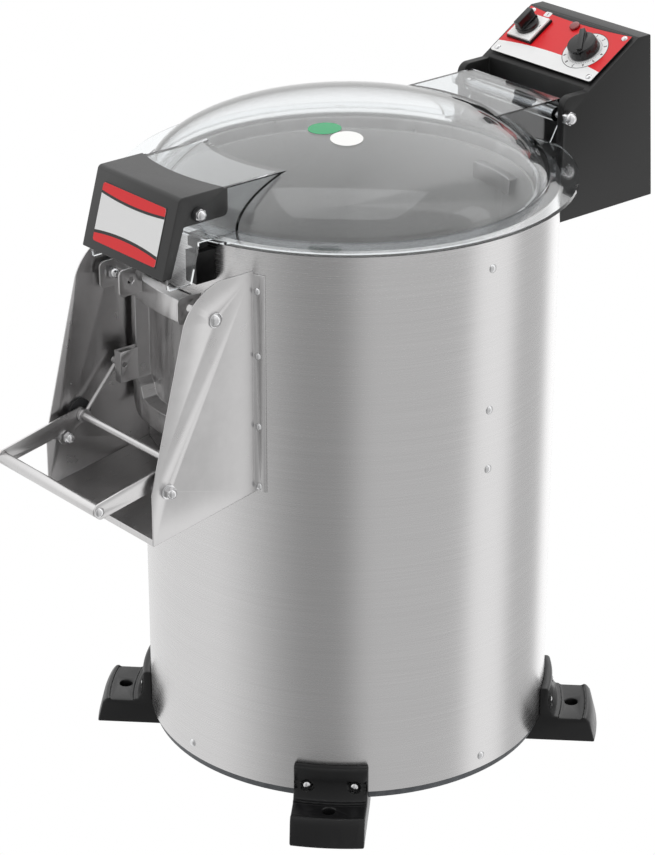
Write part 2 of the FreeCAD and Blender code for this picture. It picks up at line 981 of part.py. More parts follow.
def build_drum():
    drum = turned("inner_drum_wall", [
        (size.drum_radius, pan_top),
        (drum_outer, pan_top),
        (drum_outer, size.casing_top - 3),
        (casing_inner, size.casing_top - 3),
        (casing_inner, size.casing_top),
        (size.drum_radius, size.casing_top),
    ])
    spout_hole = radial_rod("drum_water_hole", size.water_radius, size.water_angle,
                            lining_radius - 10, size.water_top, size.water_distance - 1)
    wall = cut("drum_wall", drum, throat_block("drum_door_hole", 0), spout_hole)
    piece("inner_drum", join("inner_drum", wall, build_throat(), *build_drum_spacers()))
    lining = turned("lining_wall", [
        (lining_radius, size.lining_bottom),
        (size.drum_radius, size.lining_bottom),
        (size.drum_radius, size.lining_top),
        (lining_radius, size.lining_top),
    ])
    lining_hole = radial_rod("lining_water_hole", size.water_radius, size.water_angle,
                             lining_radius - 10, size.water_top, size.water_distance - 1)
    piece("abrasive_lining", cut("abrasive_lining", lining, throat_block("lining_door_hole", 0),
                                 lining_hole))
    pan = turned("chamber_floor_pan", [
        (size.seal_radius, size.pan_level),
        (casing_inner - size.pan_sheet, size.pan_level),
        (casing_inner - size.pan_sheet, size.pan_level - size.pan_skirt),
        (casing_inner, size.pan_level - size.pan_skirt),
        (casing_inner, pan_top),
        (size.seal_radius, pan_top),
    ])
    drain_hole = rod("pan_drain_hole", size.drain_radius - size.drain_wall,
                     (drain_x, drain_y, size.pan_level - 10), "z", size.pan_sheet + 20)
    pipe_hole = rod("pan_pipe_hole", size.water_radius,
                    (water_x, water_y, size.pan_level - 10), "z", size.pan_sheet + 20)
    spots = flank_spots(["screw_pan"]) + chute_spots(["chute_screw_one"])
    piece("chamber_floor", cut("chamber_floor", pan, drain_hole, pipe_hole, *shank_holes("pan", spots)))


def build_drum_spacers():
    """Four pads welded between the drum and the casing, which take the upper side screws."""
    pads = []
    half = size.spacer_width / 2
    for level_name, level in (("high", size.screw_high), ("middle", size.screw_middle)):
        block = overlap(
            "spacer_{}_pair".format(level_name),
            tube("spacer_{}_ring".format(level_name), casing_inner, drum_outer, level - half, level + half),
            box("spacer_{}_slab".format(level_name), (-BIG, BIG), (-half, half), (level - half, level + half)),
        )
        pads.append(cut("spacer_{}".format(level_name), block,
                        rod("spacer_{}_hole".format(level_name), size.screw_shank,
                            (-BIG, 0, level), "x", 2 * BIG)))
    return pads


def build_casing_screws():
    """Side screws: a column on each flank and one low at the front and the rear."""
    fasteners["casing_screws"] += [
        casing_screw("side_screw_{}".format(row), angle, size.casing_radius, level, 8)
        for row, (angle, level) in enumerate(flank_spots(FLANK_LEVELS) + base_spots())
    ]


build_casing_screws()


def build_throat():
    """The outlet: a short rectangular duct welded between the drum and the casing's front."""
    block = overlap("throat_block", throat_block("throat_outside", 0),
                    tube("throat_ring", size.casing_radius, lining_radius, size.opening_bottom - 5,
                         throat_top + 5))
    return cut("outlet_throat", block, throat_block("throat_inside", -size.throat_wall))


build_drum()


def build_gasket():
    """The rubber ring on the casing's rim that the lid lies on."""
    top = size.lid_level - size.gasket_gap
    piece("rim_gasket", turned("rim_gasket", [
        (size.gasket_inner, size.casing_top),
        (size.casing_radius, size.casing_top),
        (size.casing_radius, top - 1),
        (size.casing_radius - 2, top),
        (size.gasket_inner + 2, top),
        (size.gasket_inner, top - 1),
    ]))


build_gasket()


# Drive: disc, shaft, bearings, belt and motor.
disc_top = size.disc_level + size.disc_grit
housing_bottom = size.pan_level - size.housing_drop
bearing_bore = size.shaft_radius + size.running_gap


def build_housing():
    flange = 8
    seat = size.bearing_radius
    piece("bearing_housing", turned("bearing_housing", [
        (seat, housing_bottom),
        (size.housing_radius, housing_bottom),
        (size.housing_radius, size.pan_level - flange),
        (size.housing_flange, size.pan_level - flange),
        (size.housing_flange, size.pan_level),
        (seat, size.pan_level),
    ]))
    bearings = []
    levels = {
        "lower_bearing": housing_bottom + 4,
        "upper_bearing": size.pan_level - size.bearing_width - 4,
    }
    for label, low in levels.items():
        groove = 2.5
        high = low + size.bearing_width
        step = (seat - bearing_bore) / 3
        bearings.append(turned(label, [
            (bearing_bore, low),
            (bearing_bore + step, low),
            (bearing_bore + step, low + groove),
            (seat - step, low + groove),
            (seat - step, low),
            (seat, low),
            (seat, high),
            (seat - step, high),
            (seat - step, high - groove),
            (bearing_bore + step, high - groove),
            (bearing_bore + step, high),
            (bearing_bore, high),
        ]))
    piece("bearings", group("bearings", bearings))
    lip = 3
    piece("shaft_seal", turned("shaft_seal", [
        (bearing_bore, size.pan_level),
        (size.seal_radius, size.pan_level),
        (size.seal_radius, pan_top),
        (size.seal_radius + lip, pan_top),
        (size.seal_radius + lip, pan_top + lip),
        (bearing_bore, pan_top + lip + 1),
    ]))


build_housing()


def build_disc():
    plate_bottom = size.disc_level - size.disc_plate
    piece("abrasive_disc", turned("abrasive_disc", [
        (size.shaft_radius, size.disc_level - size.disc_hub_drop),
        (size.disc_hub_radius, size.disc_level - size.disc_hub_drop),
        (size.disc_hub_radius, plate_bottom),
        (size.disc_radius, plate_bottom),
        (size.disc_radius, size.disc_level),
        (size.shaft_radius, size.disc_level),
    ]))
    rim = size.disc_radius - 2
    grit = turned("disc_grit_plate", [
        (size.disc_hub_radius, size.disc_level),
        (rim, size.disc_level),
        (rim, disc_top - 1),
        (rim - 1, disc_top),
        (size.disc_hub_radius, disc_top),
    ])
    ridge_half = 26
    ridge_start = size.disc_hub_radius + 30
    wave = [
        (-ridge_half, disc_top - 1, -60),
        (ridge_half, disc_top - 1),
        (ridge_half * 0.35, disc_top + size.disc_ridge, -60),
        (-ridge_half * 0.35, disc_top + size.disc_ridge),
    ]
    ridges = [
        sheet_cut("disc_ridge_right", "YZ_Plane", wave, ridge_start, rim - 12),
        sheet_cut("disc_ridge_left", "YZ_Plane", wave, 12 - rim, -ridge_start),
    ]
    piece("disc_grit", join("disc_grit", grit, *ridges))


build_disc()


def build_shaft():
    top = size.disc_level + 2
    piece("main_shaft", rod("main_shaft", size.shaft_radius, (0, 0, size.shaft_bottom), "z",
                            top - size.shaft_bottom))
    nut = turned("hub_nut_body", [
        (0, top),
        (size.hub_nut_width, top),
        (size.hub_nut_width, top + 6),
        (size.hub_nut_width * 0.2, top + 6 + size.hub_nut_width * 0.7, size.hub_nut_width * 1.3),
        (0, top + 6 + size.hub_nut_width * 0.7),
    ])
    piece("hub_nut", nut)


build_shaft()


def pulley_points(radius, bore, low, width):
    """Half section of a flat-bottomed grooved pulley."""
    high = low + width
    lip = (width - size.belt_width) / 2
    floor = radius - size.belt_depth
    return [
        (bore, low),
        (radius, low),
        (radius, low + lip - size.belt_gap),
        (floor, low + lip - size.belt_gap),
        (floor, high - lip + size.belt_gap),
        (radius, high - lip + size.belt_gap),
        (radius, high),
        (bore, high),
    ]


def belt_loop(name, large, small, low, high):
    """A solid that follows the outside of a belt round two pulleys."""
    distance = size.motor_distance
    lean = (plain(large) - small) / distance
    level = root(1 - lean * lean)
    straight = sheet_cut(name + "_straight", "XY_Plane", [
        (large * level, large * lean),
        (small * level, distance + small * lean),
        (-small * level, distance + small * lean),
        (-large * level, large * lean),
    ], low, high)
    wide = rod(name + "_wide", large, (0, 0, low), "z", high - low)
    narrow = rod(name + "_narrow", small, (0, distance, low), "z", high - low)
    return join(name, straight, wide, narrow)


def build_belt_drive():
    level = size.pulley_level
    width = size.pulley_width
    piece("driven_pulley", turned("driven_pulley",
                                  pulley_points(size.pulley_radius, size.shaft_radius, level, width)))
    motor_pulley = turned("motor_pulley",
                          pulley_points(size.motor_pulley_radius, size.motor_shaft_radius, level, width))
    place(motor_pulley, 0, size.motor_distance, 0)
    piece("motor_pulley", motor_pulley)
    low = level + (width - size.belt_width) / 2
    high = low + size.belt_width
    inner_large = size.pulley_radius - size.belt_depth + size.belt_gap
    inner_small = size.motor_pulley_radius - size.belt_depth + size.belt_gap
    thick = size.belt_depth
    piece("drive_belt", cut("drive_belt",
                            belt_loop("belt_outside", inner_large + thick, inner_small + thick, low, high),
                            belt_loop("belt_inside", inner_large, inner_small, low - 1, high + 1)))


build_belt_drive()


def build_motor():
    """The motor hangs under a plate; the plate hangs from the chamber floor on four posts."""
    distance = size.motor_distance
    plate_bottom = size.motor_plate_level
    plate_top = plate_bottom + size.motor_plate_thickness
    half = size.motor_plate_half_width
    plate = overlap(
        "motor_plate_blank",
        box("motor_plate_slab", (-half, half), (distance * 0.33, casing_inner - 30), (plate_bottom, plate_top)),
        rod("motor_plate_round", casing_inner - 4, (0, 0, plate_bottom), "z", size.motor_plate_thickness),
    )
    register = size.motor_radius * 0.5
    boss_hole = rod("motor_plate_hole", register, (0, distance, plate_bottom - 5), "z",
                    size.motor_plate_thickness + 10)
    posts = []
    for row, (side, reach) in enumerate(((-1, 0.45), (1, 0.45), (-1, 1.22), (1, 1.22))):
        at_x = (half - size.post_radius - 5) * side
        at_y = distance * reach
        posts.append(rod("motor_post_{}".format(row), size.post_radius, (at_x, at_y, plate_bottom), "z",
                         size.pan_level - plate_bottom))
    bolts = []
    bolt_holes = []
    for row, turns in enumerate((45, 135, 225, 315)):
        reach = size.motor_radius * 0.8
        at_x = reach * cosine(turns)
        at_y = distance + reach * sine(turns)
        bolts.append(dome_screw("motor_bolt_{}".format(row), size.screw_head, size.screw_crown,
                                size.screw_shank, size.motor_plate_thickness + 8, (at_x, at_y, plate_top), UP))
        bolt_holes.append(rod("motor_plate_bolt_hole_{}".format(row), size.screw_shank,
                              (at_x, at_y, plate_bottom - 5), "z", size.motor_plate_thickness + 10))
    fasteners["casing_screws"] += bolts
    piece("motor_plate", join("motor_plate", cut("motor_plate_drilled", plate, boss_hole, *bolt_holes),
                              *posts))
    radius = size.motor_radius
    bottom = plate_bottom - size.motor_length
    housing = turned("motor_housing_shell", [
        (size.motor_shaft_radius + size.running_gap, bottom + 3),
        (radius - 6, bottom + 3),
        (radius, bottom + 15),
        (radius, plate_bottom - 12),
        (radius - 4, plate_bottom),
        (register - 0.5, plate_bottom),
        (register - 0.5, plate_bottom + 4),
        (size.motor_shaft_radius + size.running_gap, plate_bottom + 4),
    ])
    place(housing, 0, distance, 0)
    drilled = cut("motor_housing_drilled", housing, *[
        rod("motor_housing_hole_{}".format(row), size.screw_shank,
            (size.motor_radius * 0.8 * cosine(turns), distance + size.motor_radius * 0.8 * sine(turns),
             plate_bottom - 9), "z", 20)
        for row, turns in enumerate((45, 135, 225, 315))
    ])
    cover_wall = 2
    cover = turned("motor_fan_cover", [
        (radius * 0.3, bottom - size.fan_cover_length),
        (radius - 2, bottom - size.fan_cover_length),
        (radius - 2, bottom + 8),
        (radius - 2 - cover_wall, bottom + 8),
        (radius - 2 - cover_wall, bottom - size.fan_cover_length + cover_wall),
        (radius * 0.3, bottom - size.fan_cover_length + cover_wall),
    ])
    place(cover, 0, distance, 0)
    shaft = rod("motor_shaft", size.motor_shaft_radius, (0, distance, bottom - 20), "z",
                size.pulley_level + size.pulley_width + 6 - bottom + 20)
    fan = turned("motor_fan", [
        (size.motor_shaft_radius, bottom - 16),
        (radius * 0.8, bottom - 16),
        (radius * 0.8, bottom - 4),
        (size.motor_shaft_radius, bottom - 4),
    ])
    place(fan, 0, distance, 0)
    piece("motor_rotor", join("motor_rotor", shaft, fan))
    terminals = cut(
        "terminal_box",
        box("terminal_box_block", (-26, 26), (distance - radius - 24, distance - radius + 6),
            (bottom + 60, bottom + 130)),
        rod("terminal_box_clearance", radius - 1, (0, distance, bottom), "z", size.motor_length))
    piece("motor_housing", join("motor_housing", drilled, cover, terminals))


build_motor()


# Water: the drain from the pan, the inlet pipe up the gap, and the deflector in the drum.
def build_drain():
    outer = size.drain_radius
    inner = size.drain_radius - size.drain_wall
    fall = rod("drain_fall", outer, (drain_x, drain_y, size.drain_bottom), "z",
               size.pan_level - size.drain_bottom)
    run = radial_rod("drain_run", outer, size.drain_angle, size.drain_distance, size.drain_bottom,
                     size.drain_shoulder)
    spigot = radial_rod("drain_spigot", outer - 1, size.drain_angle, size.drain_distance,
                        size.drain_bottom, size.drain_reach)
    elbow = document.addObject("Part::Sphere", "drain_elbow")
    bind(elbow, "Radius", outer)
    place(elbow, drain_x, drain_y, size.drain_bottom)
    fall_bore = rod("drain_fall_bore", inner, (drain_x, drain_y, size.drain_bottom), "z",
                    size.pan_level - size.drain_bottom + 5)
    run_bore = radial_rod("drain_run_bore", inner, size.drain_angle, size.drain_distance,
                          size.drain_bottom, size.drain_reach + 5)
    hollow = document.addObject("Part::Sphere", "drain_elbow_bore")
    bind(hollow, "Radius", inner)
    place(hollow, drain_x, drain_y, size.drain_bottom)
    piece("drain_pipe", cut("drain_pipe", join("drain_solid", fall, run, spigot, elbow), fall_bore,
                            run_bore, hollow))


def build_water():
    outer = size.water_radius
    inner = size.water_bore
    rise = rod("water_rise", outer, (water_x, water_y, size.water_bottom), "z",
               size.water_top - size.water_bottom)
    low_run = radial_rod("water_low_run", outer, size.water_angle, size.water_distance,
                         size.water_bottom, size.casing_radius)
    spout = radial_rod("water_spout", outer, size.water_angle, lining_radius - 6, size.water_top,
                       size.water_distance)
    low_run_bore = radial_rod("water_low_bore", inner, size.water_angle, size.water_distance,
                              size.water_bottom, size.casing_radius + 5)
    spout_bore = radial_rod("water_spout_bore", inner, size.water_angle, lining_radius - 8,
                            size.water_top, size.water_distance)
    rise_bore = rod("water_rise_bore", inner, (water_x, water_y, size.water_bottom), "z",
                    size.water_top - size.water_bottom)
    corners = []
    for name, level in (("low", size.water_bottom), ("top", size.water_top)):
        ball = document.addObject("Part::Sphere", "water_elbow_" + name)
        bind(ball, "Radius", outer)
        place(ball, water_x, water_y, level)
        corners.append(ball)
    solid = join("water_run", rise, low_run, spout, *corners)
    stub = radial_rod("water_stub", size.water_thread, size.water_angle, size.casing_radius,
                      size.water_bottom, size.water_reach)
    stub_bore = radial_rod("water_stub_bore", inner, size.water_angle, size.casing_radius - 5,
                           size.water_bottom, size.water_reach + 5)
    stub_flange = radial_rod("water_stub_flange", size.water_thread + 5, size.water_angle,
                             size.casing_radius, size.water_bottom, size.casing_radius + 6)
    seat = rod("water_stub_seat", size.casing_radius, (0, 0, size.water_bottom - 40), "z", 80)
    back = radial_rod("water_stub_back", size.water_thread + 5, size.water_angle,
                      size.casing_radius - 3, size.water_bottom, size.casing_radius)
    inlet = cut("water_inlet", join("water_inlet_solid", stub, stub_flange, back), seat)
    plate_low = size.water_top - 16
    lip_top = size.water_top + outer + 1
    shield_radius = lining_radius - 14
    shield = overlap(
        "deflector_blank",
        tube("deflector_ring", shield_radius + 2, shield_radius, plate_low, lip_top),
        turned_slab("deflector_slab", size.water_angle, 45, plate_low, lip_top),
    )
    lip = overlap(
        "deflector_lip_blank",
        tube("deflector_lip_ring", lining_radius, shield_radius, lip_top - 2, lip_top),
        turned_slab("deflector_lip_slab", size.water_angle, 45, plate_low, lip_top + 1),
    )
    whole = join("water_solid", solid, inlet, shield, lip)
    piece("water_pipe", cut("water_pipe", whole, low_run_bore, spout_bore, rise_bore, stub_bore))


def turned_slab(name, angle, half, low, high):
    """An upright slab from the axis outwards at an angle."""
    slab = box(name, (0, BIG / 4), (-half, half), (low, high))
    turn(slab, angle)
    return slab


def build_gland():
    nut = radial_rod("gland_nut", size.gland_radius, size.gland_angle, size.casing_radius - 1,
                     size.gland_height, size.casing_radius + 10)
    cone = document.addObject("Part::Cone", "gland_cone")
    bind(cone, "Radius1", size.gland_radius * 0.9)
    bind(cone, "Radius2", size.gland_radius * 0.6)
    bind(cone, "Height", size.gland_radius * 1.2)
    cone.Placement.Rotation = FreeCAD.Rotation(UP, outward(size.gland_angle.value))
    x, y = polar(size.casing_radius + 10, size.gland_angle)
    place(cone, x, y, size.gland_height)
    stem = radial_rod("gland_stem", size.gland_radius * 0.8, size.gland_angle, casing_inner - 8,
                      size.gland_height, size.casing_radius)
    bore = radial_rod("gland_bore", size.gland_radius * 0.4, size.gland_angle, casing_inner - 12,
                      size.gland_height, size.casing_radius + 60)
    seat = tube("gland_seat", size.casing_radius, size.casing_radius - 6, size.gland_height - 30,
                size.gland_height + 30)
    head = cut("gland_head", join("gland_outer", nut, cone), seat)
    piece("cable_gland", cut("cable_gland", join("gland_solid", head, stem), bore))


build_drain()
build_water()
build_gland()


# Chute: two side plates on flanges, a sloping tray between them, and their screws.
def mirrored_span(side, inner, outer):
    """Low and high x of a span on the left (-1) or right (1) side."""
    if side > 0:
        return inner, outer
    return -outer, -inner


def build_chute():
    outer = size.chute_half_width
    inner = size.chute_half_width - size.chute_sheet
    drum = {}
    for side, label in ((-1, "left_chute_plate"), (1, "right_chute_plate")):
        near, far = mirrored_span(side, inner, outer)
        drum[label] = rod(label + "_drum", size.casing_radius, (0, 0, 400), "z", 500)
        wing = sheet_cut(label + "_wing", "YZ_Plane", [
            (-size.casing_radius * 0.9, size.chute_rear_bottom),
            (-size.casing_radius * 0.9, size.chute_top),
            (-size.chute_crown_reach, size.chute_top),
            (-size.chute_slope_reach, size.chute_slope_high, size.chute_crown_radius),
            (-size.chute_front, size.chute_slope_low),
            (-size.chute_front, size.chute_bottom),
        ], near, far)
        low, high = mirrored_span(side, inner, size.chute_flange_reach)
        flange = overlap(
            label + "_flange",
            tube(label + "_flange_ring", size.casing_radius + size.chute_sheet, size.casing_radius,
                 size.chute_rear_bottom + 1, size.chute_top - 4),
            box(label + "_flange_block", (low, high), (-size.casing_radius - 20, 0),
                (size.chute_rear_bottom, size.chute_top)),
        )
        pivot = rod(label + "_pivot_hole", size.pivot_bolt, (-BIG, -size.pivot_reach, size.pivot_level),
                    "x", 2 * BIG)
        hinge = rod(label + "_hinge_hole", size.pivot_bolt,
                    (-BIG, -size.door_hinge_reach, size.door_hinge_level), "x", 2 * BIG)
        trimmed = cut(label + "_trimmed", wing, drum[label])
        holes = shank_holes(label, chute_spots(CHUTE_LEVELS, [side]))
        piece(label, cut(label, join(label + "_welded", trimmed, flange), pivot, hinge, *holes))
    sheet_gap = size.chute_sheet
    slope = (size.chute_rear_bottom - size.chute_bottom) / (size.chute_front - size.casing_radius * 0.9)
    rear = size.casing_radius * 0.9
    tray = sheet_cut("tray_sheet", "YZ_Plane", [
        (-size.chute_front, size.chute_bottom),
        (-rear, size.chute_rear_bottom),
        (-rear, size.chute_rear_bottom + sheet_gap),
        (-size.chute_front + sheet_gap, size.chute_bottom + sheet_gap + slope * sheet_gap),
        (-size.chute_front + sheet_gap, size.chute_bottom + 9),
        (-size.chute_front, size.chute_bottom + 9),
    ], -inner, inner)
    piece("chute_tray", cut("chute_tray", tray, rod("tray_drum", size.casing_radius, (0, 0, 400), "z", 300)))
    fasteners["casing_screws"] += [
        dome_screw("chute_screw_{}".format(row), size.screw_head - 1, size.screw_crown, size.screw_shank, 8,
                   (*polar(chute_seat, angle), level), outward(angle))
        for row, (angle, level) in enumerate(chute_spots(CHUTE_LEVELS))
    ]
    bumper_seat = -inner
    piece("chute_bumper", rod("chute_bumper", size.bumper_radius,
                              (bumper_seat, -size.bumper_reach, size.bumper_level), "x", size.bumper_height))


build_chute()


# Lever: two side bars, a grip tube and a crossbar, turning on two pivot bolts.
def build_lever():
    rise = size.crossbar_level - size.grip_level
    run = size.grip_reach - size.crossbar_reach
    length = root(rise * rise + run * run)
    up_y = -(rise / length)
    up_z = run / length
    half = size.bar_height / 2
    end_bend = size.bar_height * 0.55
    outer = size.bar_half_width
    inner = size.bar_half_width - size.bar_sheet
    lobe_lift = 6
    bars = []
    for side in (-1, 1):
        near, far = mirrored_span(side, inner, outer)
        name = "lever_bar_{}".format("left" if side < 0 else "right")
        strip = sheet_cut(name + "_strip", "YZ_Plane", [
            (-size.grip_reach + up_y * half, size.grip_level + up_z * half),
            (-size.grip_reach - up_y * half, size.grip_level - up_z * half, end_bend),
            (-size.pivot_reach - size.lobe_radius - 8, size.grip_level + 3),
            (-size.pivot_reach - size.lobe_radius, size.pivot_level - 1),
            (-size.pivot_reach + size.lobe_radius, size.pivot_level - 1, size.lobe_radius + 0.2),
            (-size.pivot_reach + size.lobe_radius, size.pivot_level + lobe_lift),
            (-size.crossbar_reach - up_y * half, size.crossbar_level - up_z * half),
            (-size.crossbar_reach + up_y * half, size.crossbar_level + up_z * half, end_bend),
        ], near, far)
        start = -outer - 1 if side < 0 else inner - 1
        holes = [
            rod(name + "_pivot_hole", size.pivot_bolt + size.running_gap,
                (start, -size.pivot_reach, size.pivot_level), "x", size.bar_sheet + 2),
            rod(name + "_cross_hole", size.crossbar_radius,
                (start, -size.crossbar_reach, size.crossbar_level), "x", size.bar_sheet + 2),
            rod(name + "_grip_hole", size.screw_shank,
                (start, -size.grip_reach, size.grip_level), "x", size.bar_sheet + 2),
        ]
        bars.append(cut(name, strip, *holes))
    crossbar = rod("lever_crossbar", size.crossbar_radius,
                   (-outer, -size.crossbar_reach, size.crossbar_level), "x", outer * 2)
    piece("lever_frame", join("lever_frame", crossbar, *bars))
    tube_length = inner * 2
    grip = rod("lever_grip_tube", size.grip_radius, (-inner, -size.grip_reach, size.grip_level), "x",
               tube_length)
    bore = rod("lever_grip_bore", size.grip_radius - size.grip_wall,
               (-inner + 12, -size.grip_reach, size.grip_level), "x", tube_length - 24)
    threads = [
        rod("grip_thread_left", size.screw_shank, (-inner - 1, -size.grip_reach, size.grip_level), "x", 14),
        rod("grip_thread_right", size.screw_shank, (inner - 13, -size.grip_reach, size.grip_level), "x", 14),
    ]
    piece("lever_grip", cut("lever_grip", grip, bore, *threads))
    screws = []
    for side, axis in ((-1, "-x"), (1, "x")):
        screws.append(dome_screw("grip_screw_{}".format(side + 1), size.screw_head + 1, size.screw_crown + 2,
                                 size.screw_shank, size.bar_sheet + 9,
                                 (outer * side, -size.grip_reach, size.grip_level), AXES[axis]))
    piece("grip_screws", group("grip_screws", screws))


build_lever()


def build_pivots():
    """Pivot bolts of the lever and of the door, both held in the chute plates."""
    outer = size.chute_half_width
    spots = {
        "lever_pivot": (size.pivot_reach, size.pivot_level, size.bar_half_width - size.bar_sheet - 3),
        "door_pivot": (size.door_hinge_reach, size.door_hinge_level, size.ear_outer - size.ear_sheet - 3),
    }
    for label, (reach, level, inner) in spots.items():
        bolts = []
        nuts = []
        for side, axis in ((-1, "-x"), (1, "x")):
            seat = (outer * side, -reach, level)
            name = "{}_{}".format(label, "left" if side < 0 else "right")
            shank = rod(name + "_shank", size.pivot_bolt, seat, "x" if side < 0 else "-x", outer - inner)
            collar_span = mirrored_span(side, spacer_start(label), outer - size.chute_sheet)
            collar = rod(name + "_collar", size.pivot_bolt + 3, (collar_span[0], -reach, level), "x",
                         collar_span[1] - collar_span[0])
            washer = rod(name + "_washer", size.pivot_head, seat, axis, 1.5)
            crown_seat = ((outer + 1.5) * side, -reach, level)
            if label == "door_pivot":
                head = dome_screw(name + "_head", size.pivot_head - 1, size.screw_crown + 3,
                                  size.pivot_bolt - 1, 4, crown_seat, AXES[axis])
            else:
                head = acorn_nut(name + "_head", size.pivot_head * 1.7, size.pivot_head * 1.2,
                                 size.screw_shank, crown_seat, AXES[axis])
            bolts.append(join(name + "_bolt", shank, collar, washer, head))
            inside = ((inner + 1) * side, -reach, level)
            nuts.append(acorn_nut(name + "_nut", size.pivot_head * 1.6, size.pivot_head, size.pivot_bolt,
                                  inside, AXES["x" if side < 0 else "-x"]))
        fasteners["pivot_bolts"] += bolts
        fasteners["acorn_nuts"] += nuts


def spacer_start(label):
    """Where a pivot's spacer collar ends on the inside, short of the moving part by a gap."""
    moving = size.bar_half_width if label == "lever_pivot" else size.ear_outer
    return moving + 0.4


build_pivots()


# Link: a rod from the crossbar up to the door's lug, with its pin.
def build_link():
    width = size.link_radius * 2 + 1
    start = size.bar_half_width - size.bar_sheet - 1 - width
    left = -start - width
    eye_radius = size.crossbar_radius + 4
    eye = rod("link_eye", eye_radius, (left, -size.crossbar_reach, size.crossbar_level), "x", width)
    bore = rod("link_bore", size.crossbar_radius + size.running_gap,
               (left - 1, -size.crossbar_reach, size.crossbar_level), "x", width + 2)
    run = size.crossbar_reach - size.link_pin_reach
    rise = size.link_pin_level - size.crossbar_level
    length = root(run * run + rise * rise)
    arm = document.addObject("Part::Cylinder", "link_arm")
    bind(arm, "Radius", size.link_radius)
    bind(arm, "Height", length)
    arm.Placement.Rotation = FreeCAD.Rotation(UP, FreeCAD.Vector(0, run.value, rise.value))
    place(arm, left + width / 2, -size.crossbar_reach, size.crossbar_level)
    knuckle = rod("link_knuckle", size.link_radius + 2.5, (left, -size.link_pin_reach, size.link_pin_level),
                  "x", width)
    pin_end = -(size.lug_outer - size.lug_sheet - 3)
    pin = rod("link_pin_shank", size.link_radius, (left - 1, -size.link_pin_reach, size.link_pin_level),
              "x", pin_end - left + 1)
    head = rod("link_pin_head", size.link_radius + 2, (left - 3, -size.link_pin_reach, size.link_pin_level),
               "x", 2)
    piece("link_rod", cut("link_rod", join("link_solid", eye, arm, knuckle, pin, head), bore))


build_link()


# Door: a pressed leaf with a sunk panel, its rubber seal, hinge brackets and lug.
def recess_points(margin):
    """The sunk panel's outline, its lower corners bent in facets."""
    half = size.door_recess_half_width + margin
    bottom = size.door_recess_bottom - margin
    top = size.door_recess_top + margin
    return [
        (-half, top),
        (-half, bottom + 24),
        (-half + 14, bottom + 17),
        (-half + 20, bottom + 3),
        (-half + 38, bottom),
        (half - 38, bottom),
        (half - 20, bottom + 3),
        (half - 14, bottom + 17),
        (half, bottom + 24),
        (half, top),
    ]


def door_blank(name, margin, inner, outer):
    """The leaf's outline between two radii, smaller than the leaf by a margin."""
    half = size.door_half_width - margin
    low = size.door_bottom + margin
    high = size.door_top - margin
    bend = size.door_corner
    slab = sheet_cut(name + "_slab", "XZ_Plane", [
        (-half, high),
        (-half, low + bend),
        (-half + bend, low, bend),
        (half - bend, low),
        (half, low + bend, bend),
        (half, high),
    ], size.casing_radius * 0.7, size.casing_radius * 1.3)
    return overlap(name, slab, tube(name + "_ring", outer, inner, low - 5, high + 5))


def build_door():
    skin = size.door_skin
    inner = size.door_face_radius - skin
    leaf = door_blank("leaf_blank", 0, inner, size.door_radius)
    sunk = sheet_cut("leaf_recess", "XZ_Plane", recess_points(0), size.casing_radius * 0.7,
                     size.casing_radius * 1.3)
    dish = overlap("leaf_dish", sunk, tube("leaf_dish_ring", BIG / 4, size.door_face_radius,
                                           size.door_bottom - 5, size.door_top + 5))
    rim_room = door_blank("leaf_rim_room", skin, inner - 5, size.door_radius - skin)
    island = sheet_cut("leaf_island", "XZ_Plane", recess_points(skin), size.casing_radius * 0.7,
                       size.casing_radius * 1.3)
    piece("door_leaf", cut("door_leaf", leaf, dish, cut("leaf_rim_hollow", rim_room, island)))
    seal = door_blank("seal_blank", skin, size.casing_radius + 0.5, inner + 8)
    seal_island = sheet_cut("seal_island", "XZ_Plane", recess_points(skin), size.casing_radius * 0.7,
                            size.casing_radius * 1.3)
    piece("door_seal", cut("door_seal", seal, seal_island))


build_door()


def build_door_brackets():
    """Two U brackets on the leaf's top band; each hangs the door on a pivot bolt."""
    front = size.ear_front
    base = size.door_radius
    brackets = []
    for side in (-1, 1):
        name = "door_bracket_{}".format("left" if side < 0 else "right")
        legs = []
        for part, inner in (("outer", size.ear_outer - size.ear_sheet), ("inner", size.ear_inner)):
            near, far = mirrored_span(side, inner, inner + size.ear_sheet)
            legs.append(sheet_cut(name + "_" + part, "YZ_Plane", [
                (-base * 0.9, size.ear_bottom),
                (-base * 0.9, size.ear_top - 4),
                (-size.door_hinge_reach + 8, size.ear_top),
                (-front + 8, size.ear_top),
                (-front, size.ear_top - 8, 8),
                (-front, size.ear_bottom + 8),
                (-front + 8, size.ear_bottom, 8),
            ], near, far))
        low, high = mirrored_span(side, size.ear_inner, size.ear_outer)
        web = box(name + "_web", (low, high), (-base * 1.1, -base * 0.9), (size.ear_bottom, size.door_top))
        skin = tube(name + "_skin", base + size.ear_sheet, base, size.ear_bottom - 5, size.ear_top + 5)
        core = rod(name + "_core", base, (0, 0, size.ear_bottom - 5), "z", 60)
        foot_plate = overlap(name + "_foot", web, skin)
        solid = cut(name + "_trimmed", join(name + "_legs", *legs), core)
        hole = rod(name + "_hole", size.pivot_bolt + size.running_gap,
                   (-BIG, -size.door_hinge_reach, size.door_hinge_level), "x", 2 * BIG)
        brackets.append(cut(name, join(name + "_welded", solid, foot_plate), hole))
    piece("door_brackets", group("door_brackets", brackets))


build_door_brackets()


